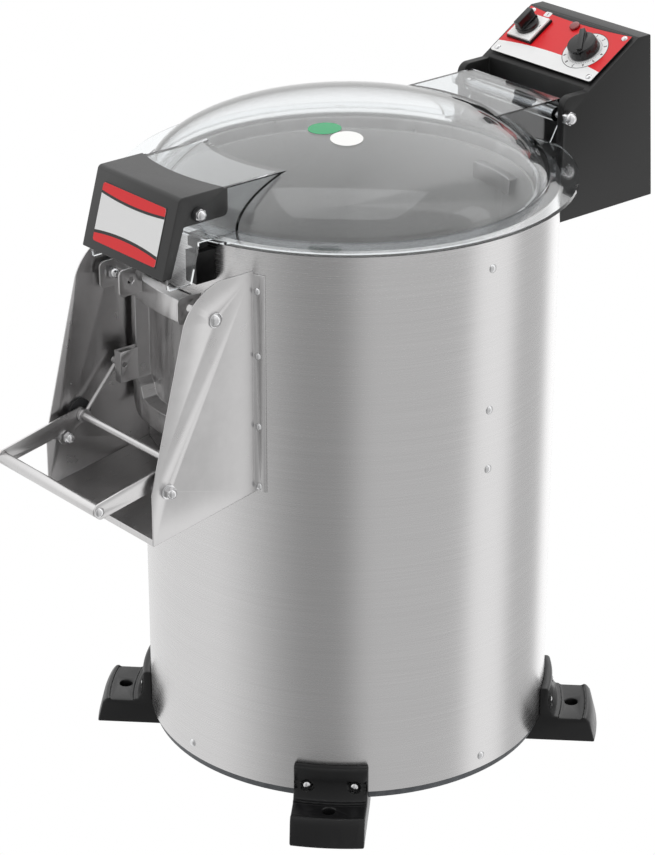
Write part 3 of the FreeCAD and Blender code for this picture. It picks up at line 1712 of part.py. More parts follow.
def build_door_lug():
    """The channel on the leaf's left side that the link's pin slides in."""
    front = size.lug_front
    base = size.door_radius
    name = "door_lug"
    block = box(name + "_block", (-size.lug_outer, -size.lug_inner), (-front, -base * 0.9),
                (size.lug_bottom, size.lug_top))
    room = box(name + "_room", (-size.lug_outer + size.lug_sheet, -size.lug_inner - size.lug_sheet),
               (-front + size.lug_sheet, -base * 0.8), (size.lug_bottom - 5, size.lug_top + 5))
    core = rod(name + "_core", base, (0, 0, size.lug_bottom - 10), "z", 70)
    slot_radius = size.link_radius + size.lug_slot_gap
    along_y = size.lug_slot_play * cosine(size.lug_slot_angle)
    along_z = size.lug_slot_play * sine(size.lug_slot_angle)
    start = -size.lug_outer - 1
    ends = [
        rod(name + "_slot_low", slot_radius, (start, -size.link_pin_reach, size.link_pin_level), "x",
            size.lug_sheet + 2),
        rod(name + "_slot_high", slot_radius,
            (start, -size.link_pin_reach + along_y, size.link_pin_level + along_z), "x", size.lug_sheet + 2),
    ]
    slide = document.addObject("Part::Box", name + "_slot_middle")
    bind(slide, "Length", size.lug_sheet + 2)
    bind(slide, "Width", slot_radius * 2)
    bind(slide, "Height", size.lug_slot_play)
    slide.Placement.Rotation = FreeCAD.Rotation(AXES["x"], size.lug_slot_angle.value - 90)
    place(slide, start,
          -size.link_pin_reach - slot_radius * sine(size.lug_slot_angle),
          size.link_pin_level + slot_radius * cosine(size.lug_slot_angle))
    window = rod(name + "_window", 3.6, (-size.lug_inner - size.lug_sheet - 1, -size.link_pin_reach,
                                        size.link_pin_level), "x", size.lug_sheet + 2)
    piece("door_lug", cut(name, block, room, core, slide, window, *ends))


build_door_lug()


# Lid: a clear flange and dome with a moulded bridge to the hinge rod.
lid_top = size.lid_level + size.lid_sheet


def ellipsoid(name, radius, height, level):
    ball = document.addObject("Part::Ellipsoid", name)
    bind(ball, "Radius1", height)
    bind(ball, "Radius2", radius)
    bind(ball, "Radius3", radius)
    place(ball, 0, 0, level)
    return ball


def build_lid():
    shell_top = lid_top + size.dome_height
    half = size.bridge_half_width
    sheet_in = size.bridge_sheet
    outside = ellipsoid("dome_outside", size.dome_radius, size.dome_height, lid_top)
    above = box("dome_above", (-BIG / 4, BIG / 4), (-BIG / 4, BIG / 4), (lid_top, shell_top + 5))
    crown = overlap("dome_crown", outside, above)
    flange = cut("flange_trimmed",
                 rod("flange_round", size.lid_radius, (0, 0, size.lid_level), "z", size.lid_sheet),
                 box("flange_rear", (-BIG / 4, BIG / 4), (size.lid_rear_edge, BIG / 4),
                     (size.lid_level - 5, lid_top + 5)))
    bridge = sheet_cut("bridge_block", "YZ_Plane", [
        (size.bridge_start, lid_top - 1),
        (size.lid_rear_edge, lid_top - 1),
        (size.hinge_reach + size.knuckle_radius, size.hinge_level - 2),
        (size.bridge_rear, size.bridge_top - 6),
        (size.bridge_rear - 5, size.bridge_top, 6),
        (size.bridge_start, size.bridge_top),
    ], -half, half)
    bridge_room = sheet_cut("bridge_room", "YZ_Plane", [
        (size.bridge_start - 5, lid_top - 2),
        (size.bridge_rear + 20, lid_top - 2),
        (size.bridge_rear + 20, size.bridge_top - sheet_in - 8),
        (size.bridge_rear - sheet_in, size.bridge_top - sheet_in - 8),
        (size.bridge_rear - sheet_in - 6, size.bridge_top - sheet_in),
        (size.bridge_start - 5, size.bridge_top - sheet_in),
    ], -half + sheet_in, half - sheet_in)
    knuckle = rod("bridge_knuckle", size.knuckle_radius, (-half, size.hinge_reach, size.hinge_level), "x",
                  half * 2)
    hood_half = size.cap_half_width - size.cap_sheet
    hood_top = size.cap_brow - size.cap_sheet - size.hood_gap
    hood = sheet_cut("hood_block", "YZ_Plane", [
        (-size.bridge_start, lid_top - 1),
        (-size.bridge_start, hood_top),
        (-size.hood_reach, hood_top),
        (-size.hood_reach, lid_top - 1),
    ], -hood_half, hood_half)
    hood_room = sheet_cut("hood_room", "YZ_Plane", [
        (-size.bridge_start + 5, lid_top - 1),
        (-size.bridge_start + 5, hood_top - sheet_in),
        (-size.hood_reach - 5, hood_top - sheet_in),
        (-size.hood_reach - 5, lid_top - 1),
    ], -hood_half + size.lug_plate_thickness, hood_half - size.lug_plate_thickness)
    lean = (size.cap_chin_reach - size.cap_brow_reach) / (size.cap_brow - size.cap_chin)
    tip = size.lid_level - size.lid_lug_drop
    nose = size.cap_chin_reach - size.lid_lug_inset
    lugs = []
    for side in (-1, 1):
        low, high = mirrored_span(side, hood_half - size.lug_plate_thickness, hood_half)
        lugs.append(sheet_cut("lid_lug_{}".format("left" if side < 0 else "right"), "YZ_Plane", [
            (-nose + size.lid_lug_round, tip),
            (-nose + size.lid_lug_width, tip),
            (-size.lid_lug_knee, size.lid_level),
            (-size.lid_lug_knee, size.cap_bolt_level),
            (-nose + lean * (size.cap_bolt_level - size.cap_chin), size.cap_bolt_level),
            (-nose + lean * (tip + size.lid_lug_rise - size.cap_chin), tip + size.lid_lug_rise),
        ], low, high))
    solid = join("lid_solid", crown, flange, bridge, knuckle, hood, *lugs)
    hollow = ellipsoid("dome_inside", size.dome_radius - size.dome_sheet,
                       size.dome_height - size.dome_sheet, lid_top)
    mouth = rod("lid_mouth", size.dome_radius - size.dome_sheet, (0, 0, size.lid_level - 5), "z",
                size.lid_sheet + 5)
    rod_bore = rod("lid_rod_bore", size.hinge_rod + size.running_gap,
                   (-half - 5, size.hinge_reach, size.hinge_level), "x", half * 2 + 10)
    bolt_bore = rod("lid_bolt_bore", size.screw_shank, (-BIG, -size.cap_bolt_reach, size.cap_bolt_level),
                    "x", 2 * BIG)
    room = cut("bridge_hollow", bridge_room,
               ellipsoid("bridge_dome", size.dome_radius, size.dome_height, lid_top),
               rod("bridge_knuckle_keep", size.knuckle_radius, (-half, size.hinge_reach, size.hinge_level),
                   "x", half * 2))
    front_room = cut("hood_hollow", hood_room,
                     ellipsoid("hood_dome", size.dome_radius, size.dome_height, lid_top))
    piece("lid", cut("lid", solid, hollow, mouth, rod_bore, bolt_bore, room, front_room))


build_lid()


def build_lid_hinge():
    """The fixed rod that the lid's bridge turns on, with a nut outside each cheek."""
    outer = size.box_half_width
    piece("lid_hinge_rod", rod("lid_hinge_rod", size.hinge_rod,
                               (-outer - 6, size.hinge_reach + 0, size.hinge_level), "x", (outer + 6) * 2))
    nuts = []
    for side, axis in ((-1, "-x"), (1, "x")):
        nuts.append(acorn_nut("lid_hinge_nut_{}".format(side + 1), 20, 15, size.hinge_rod,
                              (outer * side, size.hinge_reach, size.hinge_level), AXES[axis]))
    fasteners["acorn_nuts"] += nuts


build_lid_hinge()


# Front cap: the black hood on the lid's front lugs, which is also its handle.
def build_front_cap():
    half = size.cap_half_width
    sheet_in = size.cap_sheet
    lean = (size.cap_chin_reach - size.cap_brow_reach) / (size.cap_brow - size.cap_chin)
    shell = sheet_cut("cap_shell", "YZ_Plane", [
        (-size.cap_rear_reach, size.cap_brow),
        (-size.cap_brow_reach, size.cap_brow),
        (-size.cap_chin_reach, size.cap_chin),
        (-size.cap_chin_reach + 14, size.cap_chin),
        (-size.cap_brow_reach + 6, size.cap_side_bottom),
        (-size.cap_rear_reach - 8, size.cap_side_bottom),
        (-size.cap_rear_reach, size.cap_side_bottom + 8, 8),
    ], -half, half)
    soften(shell, size.cap_corner, edge_at("x", [(0, -size.cap_brow_reach, size.cap_brow)]))
    room = sheet_cut("cap_room", "YZ_Plane", [
        (-size.cap_rear_reach + 20, size.cap_brow - sheet_in),
        (-size.cap_brow_reach + sheet_in, size.cap_brow - sheet_in),
        (-size.cap_chin_reach + sheet_in - lean * 20, size.cap_chin - 20),
        (-size.cap_rear_reach + 20, size.cap_chin - 20),
    ], -half + sheet_in, half - sheet_in)
    soften(room, size.cap_corner - sheet_in,
           edge_at("x", [(0, -size.cap_brow_reach + sheet_in, size.cap_brow - sheet_in)]))
    back = rod("cap_back", 288, (0, 0, size.cap_brow - 8), "z", 20)
    keep = [box("cap_keep_{}".format(side + 1), mirrored_span(side, half - sheet_in, half + 5),
                (-BIG / 4, 0), (size.cap_brow - 9, size.cap_brow - sheet_in)) for side in (-1, 1)]
    arc = cut("cap_back_arc", back, *keep)
    bolt_bore = rod("cap_bolt_bore", size.screw_shank, (-BIG, -size.cap_bolt_reach, size.cap_bolt_level),
                    "x", 2 * BIG)
    piece("front_cap", cut("front_cap", shell, room, arc, bolt_bore))
    bolts = []
    for side, axis in ((-1, "-x"), (1, "x")):
        inner = half - sheet_in - size.lug_plate_thickness
        seat = (inner * side, -size.cap_bolt_reach, size.cap_bolt_level)
        name = "cap_bolt_{}".format("left" if side < 0 else "right")
        screw = dome_screw(name + "_screw", size.screw_head, size.screw_crown, size.screw_shank,
                           half - inner + 5, seat, AXES["x" if side < 0 else "-x"])
        nut = acorn_nut(name + "_nut", 17, 13, size.screw_shank,
                        (half * side, -size.cap_bolt_reach, size.cap_bolt_level), AXES[axis])
        bolts.append(join(name, screw, nut))
    piece("cap_bolts", group("cap_bolts", bolts))
    length = root((size.cap_chin_reach - size.cap_brow_reach) * (size.cap_chin_reach - size.cap_brow_reach)
                  + (size.cap_brow - size.cap_chin) * (size.cap_brow - size.cap_chin))
    tilt = math.degrees(math.atan2((size.cap_chin_reach - size.cap_brow_reach).value,
                                   (size.cap_brow - size.cap_chin).value))
    badge = document.addObject("Part::Box", "badge_plate")
    bind(badge, "Length", size.badge_half_width * 2)
    bind(badge, "Width", size.badge_sheet)
    bind(badge, "Height", size.badge_length)
    badge.Placement.Rotation = FreeCAD.Rotation(AXES["x"], -tilt)
    rise = (size.cap_brow - size.cap_chin) / length
    slide = (size.cap_chin_reach - size.cap_brow_reach) / length
    place(badge, -size.badge_half_width,
          -size.cap_chin_reach + slide * size.badge_low - rise * size.badge_sheet,
          size.cap_chin + rise * size.badge_low + slide * size.badge_sheet)
    piece("badge_plate", badge)


build_front_cap()


def build_sensor():
    """The lid's safety switch: a body on the casing and its magnet under the lid's flange."""
    side = size.sensor_side
    seat = rod("sensor_seat", size.casing_radius, (0, 0, size.sensor_bottom - 5), "z", 60)
    block = box("sensor_block", (side, side + size.sensor_width),
                (-size.casing_radius - size.sensor_depth, -size.casing_radius * 0.9),
                (size.sensor_bottom, size.sensor_top))
    piece("lid_switch", cut("lid_switch", block, seat))
    magnet_bottom = size.sensor_top + size.magnet_gap
    piece("lid_magnet", box("lid_magnet", (side + 1, side + size.sensor_width - 1),
                            (-size.casing_radius - size.sensor_depth + 3, -size.casing_radius - 4),
                            (magnet_bottom, size.lid_level)))


build_sensor()


# Control box: a folded sheet housing with cheeks either side of the lid's hinge.
def face_screw_spots():
    """Across and up of the face plate's four corner screws."""
    return [(size.panel_screw_across * side, up)
            for up in (size.panel_screw_low, size.panel_screw_high) for side in (-1, 1)]


rear_slant = (size.box_rear - size.box_roof_rear) / (size.box_roof - size.box_bottom)
rear_lean = math.atan(rear_slant.value)
REAR_NORMAL = FreeCAD.Vector(0, math.cos(rear_lean), math.sin(rear_lean))


def cover_screw_spots():
    """The seat of each screw on the rear cover."""
    inset = size.cover_screw_inset
    levels = (size.box_bottom + inset, size.box_roof - inset - 4)
    return [((size.box_half_width - inset) * side,
             size.box_rear + size.box_sheet - rear_slant * (level - size.box_bottom), level)
            for level in levels for side in (-1, 1)]


def cover_screw_holes(label):
    """Holes along the rear cover's screws."""
    holes = []
    depth = 6
    for row, (across, reach, level) in enumerate(cover_screw_spots()):
        hole = rod("{}_cover_hole_{}".format(label, row), size.cover_screw, (0, 0, 0), "z", depth * 2)
        hole.Placement.Rotation = FreeCAD.Rotation(UP, REAR_NORMAL)
        place(hole, across, reach - depth * REAR_NORMAL.y, level - depth * REAR_NORMAL.z)
        holes.append(hole)
    return holes


def box_points(margin):
    """Side outline of the housing, inside it by a margin."""
    return [
        (size.box_front + margin, size.box_bottom + margin),
        (size.box_front + margin, size.box_brow - size.box_corner),
        (size.box_front + size.box_corner, size.box_brow - margin, -(size.box_corner - margin)),
        (size.box_chin_reach + margin / 2, size.box_brow - margin),
        (size.box_roof_front, size.box_roof - margin),
        (size.box_roof_rear - margin, size.box_roof - margin),
        (size.box_rear - margin, size.box_bottom + margin),
    ]


def build_box():
    sheet_in = size.box_sheet
    half = size.box_half_width
    full = sheet_cut("box_full", "YZ_Plane", box_points(sheet_in * 0), -half, half)
    inside = sheet_cut("box_inside", "YZ_Plane", box_points(sheet_in), -half + sheet_in, half - sheet_in)
    recess = box("box_recess", (-size.recess_half_width, size.recess_half_width),
                 (size.box_front - 20, size.recess_depth), (size.box_bottom - 5, size.box_brow + 20))
    wall = box("box_recess_wall",
               (-size.recess_half_width - sheet_in, size.recess_half_width + sheet_in),
               (size.box_front - 20, size.recess_depth + sheet_in),
               (size.box_bottom - 5, size.box_brow + 20))
    cavity = cut("box_cavity", inside, wall)
    rim = size.box_rim
    rear_open = box("box_rear_opening", (-half + rim, half - rim),
                    (size.box_roof_rear - 10, size.box_rear + 10),
                    (size.box_bottom + rim, size.box_roof - rim - 4))
    hinge_hole = rod("box_hinge_hole", size.hinge_rod, (-BIG, size.hinge_reach, size.hinge_level), "x",
                     2 * BIG)
    cable_hole = rod("box_cable_hole", size.gland_radius,
                     (0, size.recess_depth - 5, size.bracket_bottom + 30), "y", 12)
    panel_holes = [
        on_panel(rod("box_switch_hole", 20, (0, 0, -30), "z", 40), size.switch_centre_u,
                 size.switch_centre_v, -20),
        on_panel(rod("box_timer_hole", 20, (0, 0, -30), "z", 40), size.timer_centre_u,
                 size.timer_centre_v, -20),
        on_panel(rod("box_lamp_hole", size.lamp_radius - 1, (0, 0, -30), "z", 40), 0, size.lamp_v, -20),
    ]
    for row, (across, up) in enumerate(face_screw_spots()):
        panel_holes.append(on_panel(rod("box_face_screw_hole_{}".format(row), size.panel_screw_shank,
                                        (0, 0, -30), "z", 40), across, up, -20))
    piece("control_box", cut("control_box", full, recess, cavity, rear_open, hinge_hole, cable_hole,
                             *panel_holes, *cover_screw_holes("box")))
    low = size.box_bottom + 1
    high = size.box_roof - 4
    rear_low = size.box_rear - rear_slant * 1
    rear_high = size.box_roof_rear + rear_slant * 4
    cover = sheet_cut("box_cover_sheet", "YZ_Plane", [
        (rear_low, low),
        (rear_low + sheet_in, low),
        (rear_high + sheet_in, high),
        (rear_high, high),
    ], -half + 2, half - 2)
    piece("box_rear_cover", cut("box_rear_cover", cover, *cover_screw_holes("cover")))
    fasteners["box_screws"] += [
        dome_screw("box_cover_screw_{}".format(row), 4, 2, size.cover_screw, 5, spot, REAR_NORMAL)
        for row, spot in enumerate(cover_screw_spots())
    ]
    arm_half = size.bracket_half_width
    arm = box("bracket_block", (-arm_half, arm_half), (size.casing_radius * 0.9, size.recess_depth),
              (size.bracket_bottom, size.bracket_top))
    arm_room = box("bracket_room", (-arm_half + 3, arm_half - 3),
                   (size.casing_radius * 0.8, size.recess_depth + 5),
                   (size.bracket_bottom + 3, size.bracket_top - 3))
    seat = rod("bracket_seat", size.casing_radius, (0, 0, size.bracket_bottom - 5), "z", 90)
    piece("box_bracket", cut("box_bracket", arm, arm_room, seat))


# Panel: its pieces are placed by their distance across and up the sloping face.
def on_panel(shape, across, up, proud):
    """Move a shape onto the sloping face, its own Z along the face's normal."""
    lean = size.panel_angle
    shape.Placement.Rotation = FreeCAD.Rotation(AXES["x"], lean.value)
    place(shape, across, size.panel_reach + up * cosine(lean) - proud * sine(lean),
          size.panel_level + up * sine(lean) + proud * cosine(lean))
    return shape


def panel_block(name, across, up, proud):
    """A block on the face between low and high values across, up and proud of it."""
    block = box(name, across, up, proud)
    return on_panel(block, plain(across[0]), plain(up[0]), plain(proud[0]))


def panel_rod(name, radius, across, up, low, high):
    """A round bar on the face between two heights above it."""
    bar = rod(name, radius, (0, 0, 0), "z", plain(high) - low)
    return on_panel(bar, plain(across), plain(up), plain(low))


def build_panel():
    face = size.panel_sheet
    half = size.panel_half_width
    plate = panel_block("face_plate_sheet", (-half, half), (0, size.panel_length), (0, face))
    switch_u = size.switch_centre_u
    switch_v = size.switch_centre_v
    timer_u = size.timer_centre_u
    timer_v = size.timer_centre_v
    holes = [
        panel_rod("face_switch_hole", size.switch_neck, switch_u, switch_v, -2, face + 2),
        panel_rod("face_timer_hole", size.timer_neck, timer_u, timer_v, -2, face + 2),
        panel_rod("face_lamp_hole", size.lamp_radius - 1, 0, size.lamp_v, -2, face + 2),
    ]
    screws = []
    for row, (across, up) in enumerate(face_screw_spots()):
        holes.append(panel_rod("face_screw_hole_{}".format(row), size.panel_screw_shank, across, up, -2,
                               face + 2))
        screw = dome_screw("face_screw_{}".format(row), size.panel_screw, 2.5, size.panel_screw_shank, 5,
                           (0, 0, 0), UP)
        screws.append(on_panel(screw, across, up, face))
    piece("face_plate", cut("face_plate", plate, *holes))
    fasteners["box_screws"] += screws
    edge = size.switch_across / 2
    base_top = face + size.switch_height - 3
    shaft_gap = size.knob_shaft + 0.3
    base = panel_block("switch_base", (switch_u - edge, switch_u + edge),
                       (switch_v - edge, switch_v + edge), (face, base_top))
    plate_top = base_top + 3
    plaque = cut("switch_plate",
                 panel_block("switch_plate_block", (switch_u - edge + 1.5, switch_u + edge - 1.5),
                             (switch_v - edge + 1.5, switch_v + edge - 1.5), (base_top, plate_top)),
                 panel_rod("switch_plate_bore", shaft_gap, switch_u, switch_v, face - 1, plate_top + 1))
    piece("switch_plate", plaque)
    piece("switch_body", cut("switch_body",
                             join("switch_body_solid",
                                  panel_block("switch_body_block", (switch_u - 19, switch_u + 19),
                                              (switch_v - 19, switch_v + 19), (-52, -14)),
                                  panel_rod("switch_body_neck", size.switch_neck, switch_u, switch_v, -15, face),
                                  base),
                             panel_rod("switch_body_bore", shaft_gap, switch_u, switch_v, -42, base_top + 1)))
    knob_low = plate_top + 0.5
    knob_high = knob_low + size.switch_knob_height
    skirt = panel_rod("switch_knob_skirt", size.switch_knob_radius, switch_u, switch_v, knob_low,
                      knob_low + 7)
    handle = panel_block("switch_knob_handle", (switch_u - 5, switch_u + 5),
                         (switch_v - size.switch_knob_radius + 1, switch_v + size.switch_knob_radius - 1),
                         (knob_low + 6, knob_high))
    stem = panel_rod("switch_knob_stem", size.knob_shaft, switch_u, switch_v, -40, knob_low + 1)
    piece("switch_knob", join("switch_knob", skirt, handle, stem))
    dial_top = face + 1
    timer_low = dial_top + 0.5
    timer_high = timer_low + size.timer_knob_height
    timer_skirt = document.addObject("Part::Cone", "timer_knob_skirt")
    bind(timer_skirt, "Radius1", size.timer_knob_radius)
    bind(timer_skirt, "Radius2", size.timer_knob_radius - 2)
    bind(timer_skirt, "Height", size.timer_knob_height * 0.8)
    on_panel(timer_skirt, timer_u, timer_v, timer_low)
    bar = panel_block("timer_knob_bar", (-4, 4), (-size.timer_knob_radius + 4, size.timer_knob_radius + 2),
                      (timer_low, timer_high))
    turned_bar = on_panel(bar, 0, 0, 0)
    turned_bar.Placement.Rotation = FreeCAD.Rotation(AXES["x"], size.panel_angle.value).multiply(
        FreeCAD.Rotation(UP, 35))
    shift_u = -4 * cosine(35) + (size.timer_knob_radius - 4) * sine(35)
    shift_v = -4 * sine(35) - (size.timer_knob_radius - 4) * cosine(35)
    timer_turn = turned_bar.Placement.Rotation
    on_panel(turned_bar, timer_u + shift_u, timer_v + shift_v, timer_low)
    turned_bar.Placement.Rotation = timer_turn
    timer_stem = panel_rod("timer_knob_stem", size.knob_shaft, timer_u, timer_v, -36, timer_low + 1)
    piece("timer_knob", join("timer_knob", timer_skirt, turned_bar, timer_stem))
    piece("timer_body", cut("timer_body",
                            join("timer_body_solid",
                                 panel_rod("timer_body_drum", 19, timer_u, timer_v, -50, -14),
                                 panel_rod("timer_body_neck", size.timer_neck, timer_u, timer_v, -15, face)),
                            panel_rod("timer_body_bore", shaft_gap, timer_u, timer_v, -40, face + 5)))
    lamp_body = panel_rod("pilot_lamp_body", size.lamp_radius - 1, 0, size.lamp_v, -20, face + 1)
    lamp = panel_rod("pilot_lamp_lens", size.lamp_radius, 0, size.lamp_v, face, face + 4)
    piece("pilot_lamp", join("pilot_lamp", lamp_body, lamp))


build_box()
build_panel()


def build_contactor():
    """The relay that switches the motor, on the floor of the control box."""
    floor = size.box_bottom + size.box_sheet
    reach = (size.recess_depth + size.box_rear) / 2
    piece("contactor", box("contactor", (-45, 0), (reach - 22, reach + 22), (floor, floor + 80)))


build_contactor()
for fastener_label, fastener_set in fasteners.items():
    piece(fastener_label, group(fastener_label, fastener_set))


def fault(item):
    """Say what is wrong with an object, or nothing."""
    states = [state for state in item.State if state in ("Invalid", "Error")]
    if states:
        return "{} is {}".format(item.Label, ", ".join(states))
    return ""


def export_pieces():
    """Recompute, check every object and write one file for each piece."""
    document.recompute()
    faults = [fault(item) for item in document.Objects if fault(item)]
    for item in pieces:
        if item.Shape.isNull() or not item.Shape.isValid() or not item.Shape.Solids:
            faults.append(item.Label + " has no valid solid")
    if faults:
        raise RuntimeError("; ".join(faults))
    os.makedirs("parts", exist_ok=True)
    for item in pieces:
        item.Shape.exportStep(os.path.join("parts", item.Label + ".step"))
        print("{:24s} solids {:2d} volume {:12.0f}".format(item.Label, len(item.Shape.Solids),
                                                           item.Shape.Volume))
    print("pieces", len(pieces))


export_pieces()
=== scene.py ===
import bmesh
import bpy
import math
from mathutils import Matrix, Vector


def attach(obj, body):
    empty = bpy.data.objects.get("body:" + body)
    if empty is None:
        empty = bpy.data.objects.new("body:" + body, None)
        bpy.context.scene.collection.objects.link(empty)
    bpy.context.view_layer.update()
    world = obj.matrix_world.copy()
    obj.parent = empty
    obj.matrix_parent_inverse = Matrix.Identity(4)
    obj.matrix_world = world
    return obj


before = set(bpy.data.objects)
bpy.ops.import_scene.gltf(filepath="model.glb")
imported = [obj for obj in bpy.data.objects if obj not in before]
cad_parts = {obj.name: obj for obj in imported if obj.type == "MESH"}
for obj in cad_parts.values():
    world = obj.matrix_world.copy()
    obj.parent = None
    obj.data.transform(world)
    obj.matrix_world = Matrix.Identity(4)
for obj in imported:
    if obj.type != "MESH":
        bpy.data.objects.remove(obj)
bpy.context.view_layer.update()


# Floor-standing frame: the flanged base pressing, which closes the casing from below.
# Zinc-coated sheet steel, folded on a press and held by the low side screws.
def linear(hex_text):
    """An sRGB hex colour as linear red, green, blue and alpha."""
    parts = [int(hex_text[i:i + 2], 16) / 255 for i in (1, 3, 5)]
    return [c / 12.92 if c <= 0.04045 else ((c + 0.055) / 1.055) ** 2.4 for c in parts] + [1.0]


def add_node(tree, kind, settings=None, inputs=None):
    """Add one node, set its properties, and set or link its inputs."""
    node = tree.nodes.new(kind)
    for name, value in (settings or {}).items():
        setattr(node, name, value)
    for name, value in (inputs or {}).items():
        if isinstance(value, bpy.types.NodeSocket):
            tree.links.new(value, node.inputs[name])
        else:
            node.inputs[name].default_value = value
    return node


def surface(name, colour, metallic, roughness, **sockets):
    """A material with one Principled shader, and its plain values on the shader's own sockets."""
    material = bpy.data.materials.new(name)
    material.use_nodes = True
    shader = material.node_tree.nodes["Principled BSDF"]
    shader.inputs["Base Color"].default_value = linear(colour)
    shader.inputs["Metallic"].default_value = metallic
    shader.inputs["Roughness"].default_value = roughness
    for socket, value in sockets.items():
        shader.inputs[socket.replace("_", " ")].default_value = value
    return material, material.node_tree, shader


def grain(tree, shader, stretch, colours, rough, bump, detail=4.0, kind="noise"):
    """Vary a surface's colour, roughness and height by one pattern; stretch is cells per metre."""
    place = add_node(tree, "ShaderNodeTexCoord").outputs["Object"]
    sized = add_node(tree, "ShaderNodeMapping", {}, {"Vector": place, "Scale": stretch}).outputs[0]
    if kind == "noise":
        pattern = add_node(tree, "ShaderNodeTexNoise", {}, {
            "Vector": sized, "Scale": 1.0, "Detail": detail, "Roughness": 0.6}).outputs[0]
    else:
        pattern = add_node(tree, "ShaderNodeTexVoronoi", {}, {"Vector": sized, "Scale": 1.0}).outputs[0]
    shade = add_node(tree, "ShaderNodeValToRGB", {}, {"Fac": pattern})
    shade.color_ramp.elements[0].position = 0.3
    shade.color_ramp.elements[1].position = 0.7
    shade.color_ramp.elements[0].color = linear(colours[0])
    shade.color_ramp.elements[1].color = linear(colours[1])
    tree.links.new(shade.outputs[0], shader.inputs["Base Color"])
    dull = add_node(tree, "ShaderNodeMapRange", {}, {
        "Value": pattern, "From Min": 0.3, "From Max": 0.7, "To Min": rough[0], "To Max": rough[1]})
    tree.links.new(dull.outputs[0], shader.inputs["Roughness"])
    if bump:
        raised = add_node(tree, "ShaderNodeBump", {}, {
            "Height": pattern, "Strength": 0.5, "Distance": bump})
        tree.links.new(raised.outputs[0], shader.inputs["Normal"])
    return pattern


def clad(node, material):
    """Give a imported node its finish."""
    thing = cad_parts[node]
    thing.data.materials.clear()
    thing.data.materials.append(material)
    return thing


def dress(node, material, edge=0.0004, clamped=False):
    """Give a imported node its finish, whole flat faces and softly broken edges."""
    thing = clad(node, material)
    thing.data.polygons.foreach_set("use_smooth", [True] * len(thing.data.polygons))
    thing.modifiers.new("Weld", "WELD").merge_threshold = 0.00002
    whole = thing.modifiers.new("Whole faces", "DECIMATE")
    whole.decimate_type = "DISSOLVE"
    whole.angle_limit = math.radians(0.6)
    bevel = thing.modifiers.new("Edge", "BEVEL")
    bevel.width = edge
    bevel.segments = 2
    bevel.limit_method = "ANGLE"
    bevel.angle_limit = math.radians(30)
    bevel.harden_normals = True
    bevel.use_clamp_overlap = clamped
    return thing


def true_round(thing, stretch, level):
    """Shade a turned wall by its true curve; stretch weighs the axes, and level is its centre's height."""
    tree = bpy.data.node_groups.new("true_round_wall", "GeometryNodeTree")
    tree.interface.new_socket("Geometry", in_out="INPUT", socket_type="NodeSocketGeometry")
    weights = tree.interface.new_socket("Stretch", in_out="INPUT", socket_type="NodeSocketVector")
    centre = tree.interface.new_socket("Centre", in_out="INPUT", socket_type="NodeSocketVector")
    tree.interface.new_socket("Geometry", in_out="OUTPUT", socket_type="NodeSocketGeometry")
    given = add_node(tree, "NodeGroupInput").outputs
    spot = add_node(tree, "GeometryNodeInputPosition").outputs[0]
    away = add_node(tree, "ShaderNodeVectorMath", {"operation": "SUBTRACT"}, {0: spot, 1: given["Centre"]})
    weighed = add_node(tree, "ShaderNodeVectorMath", {"operation": "MULTIPLY"}, {
        0: away.outputs[0], 1: given["Stretch"]})
    curve = add_node(tree, "ShaderNodeVectorMath", {"operation": "NORMALIZE"}, {
        0: weighed.outputs[0]}).outputs[0]
    own = add_node(tree, "GeometryNodeInputNormal").outputs["Normal"]
    match = add_node(tree, "ShaderNodeVectorMath", {"operation": "DOT_PRODUCT"}, {0: curve, 1: own})
    facing = add_node(tree, "GeometryNodeFieldOnDomain", {"domain": "FACE", "data_type": "FLOAT"}, {
        0: match.outputs["Value"]}).outputs[0]
    side = add_node(tree, "ShaderNodeMath", {"operation": "SIGN"}, {0: facing}).outputs[0]
    steep = add_node(tree, "ShaderNodeMath", {"operation": "ABSOLUTE"}, {0: facing}).outputs[0]
    on_wall = add_node(tree, "FunctionNodeCompare", {"operation": "GREATER_THAN"}, {
        0: steep, 1: 0.994}).outputs[0]
    turned = add_node(tree, "ShaderNodeVectorMath", {"operation": "SCALE"}, {
        0: curve, "Scale": side}).outputs[0]
    chosen = add_node(tree, "GeometryNodeSwitch", {"input_type": "VECTOR"}, {
        "Switch": on_wall, "False": own, "True": turned}).outputs[0]
    shaded = add_node(tree, "GeometryNodeSetMeshNormal", {"mode": "FREE", "domain": "CORNER"}, {
        "Mesh": given["Geometry"], "Custom Normal": chosen})
    add_node(tree, "NodeGroupOutput", {}, {"Geometry": shaded.outputs[0]})
    modifier = thing.modifiers.new("Round wall", "NODES")
    modifier.node_group = tree
    modifier[weights.identifier] = stretch
    modifier[centre.identifier] = (0.0, 0.0, level)


zinc_coated, tree, shader = surface("zinc_coated_sheet", "#5E6062", 0.9, 0.5)
grain(tree, shader, (90, 90, 90), ("#54565A", "#6A6C6E"), (0.42, 0.58), 0)
dress("base_plate", zinc_coated)

# Feet: four solid blocks moulded in black glass-filled nylon, screwed through the casing.
# The mould leaves a fine spark texture that breaks the light on the sweep and the ledge.
moulded_nylon, tree, shader = surface("moulded_black_nylon", "#101011", 0.0, 0.36, Specular_IOR_Level=0.38)
grain(tree, shader, (1600, 1600, 1600), ("#0D0D0E", "#141415"), (0.3, 0.44), 0.00008, 2.0)
for node in ("foot_front_left", "foot_front_right", "foot_rear_left", "foot_rear_right"):
    dress(node, moulded_nylon, 0.002)

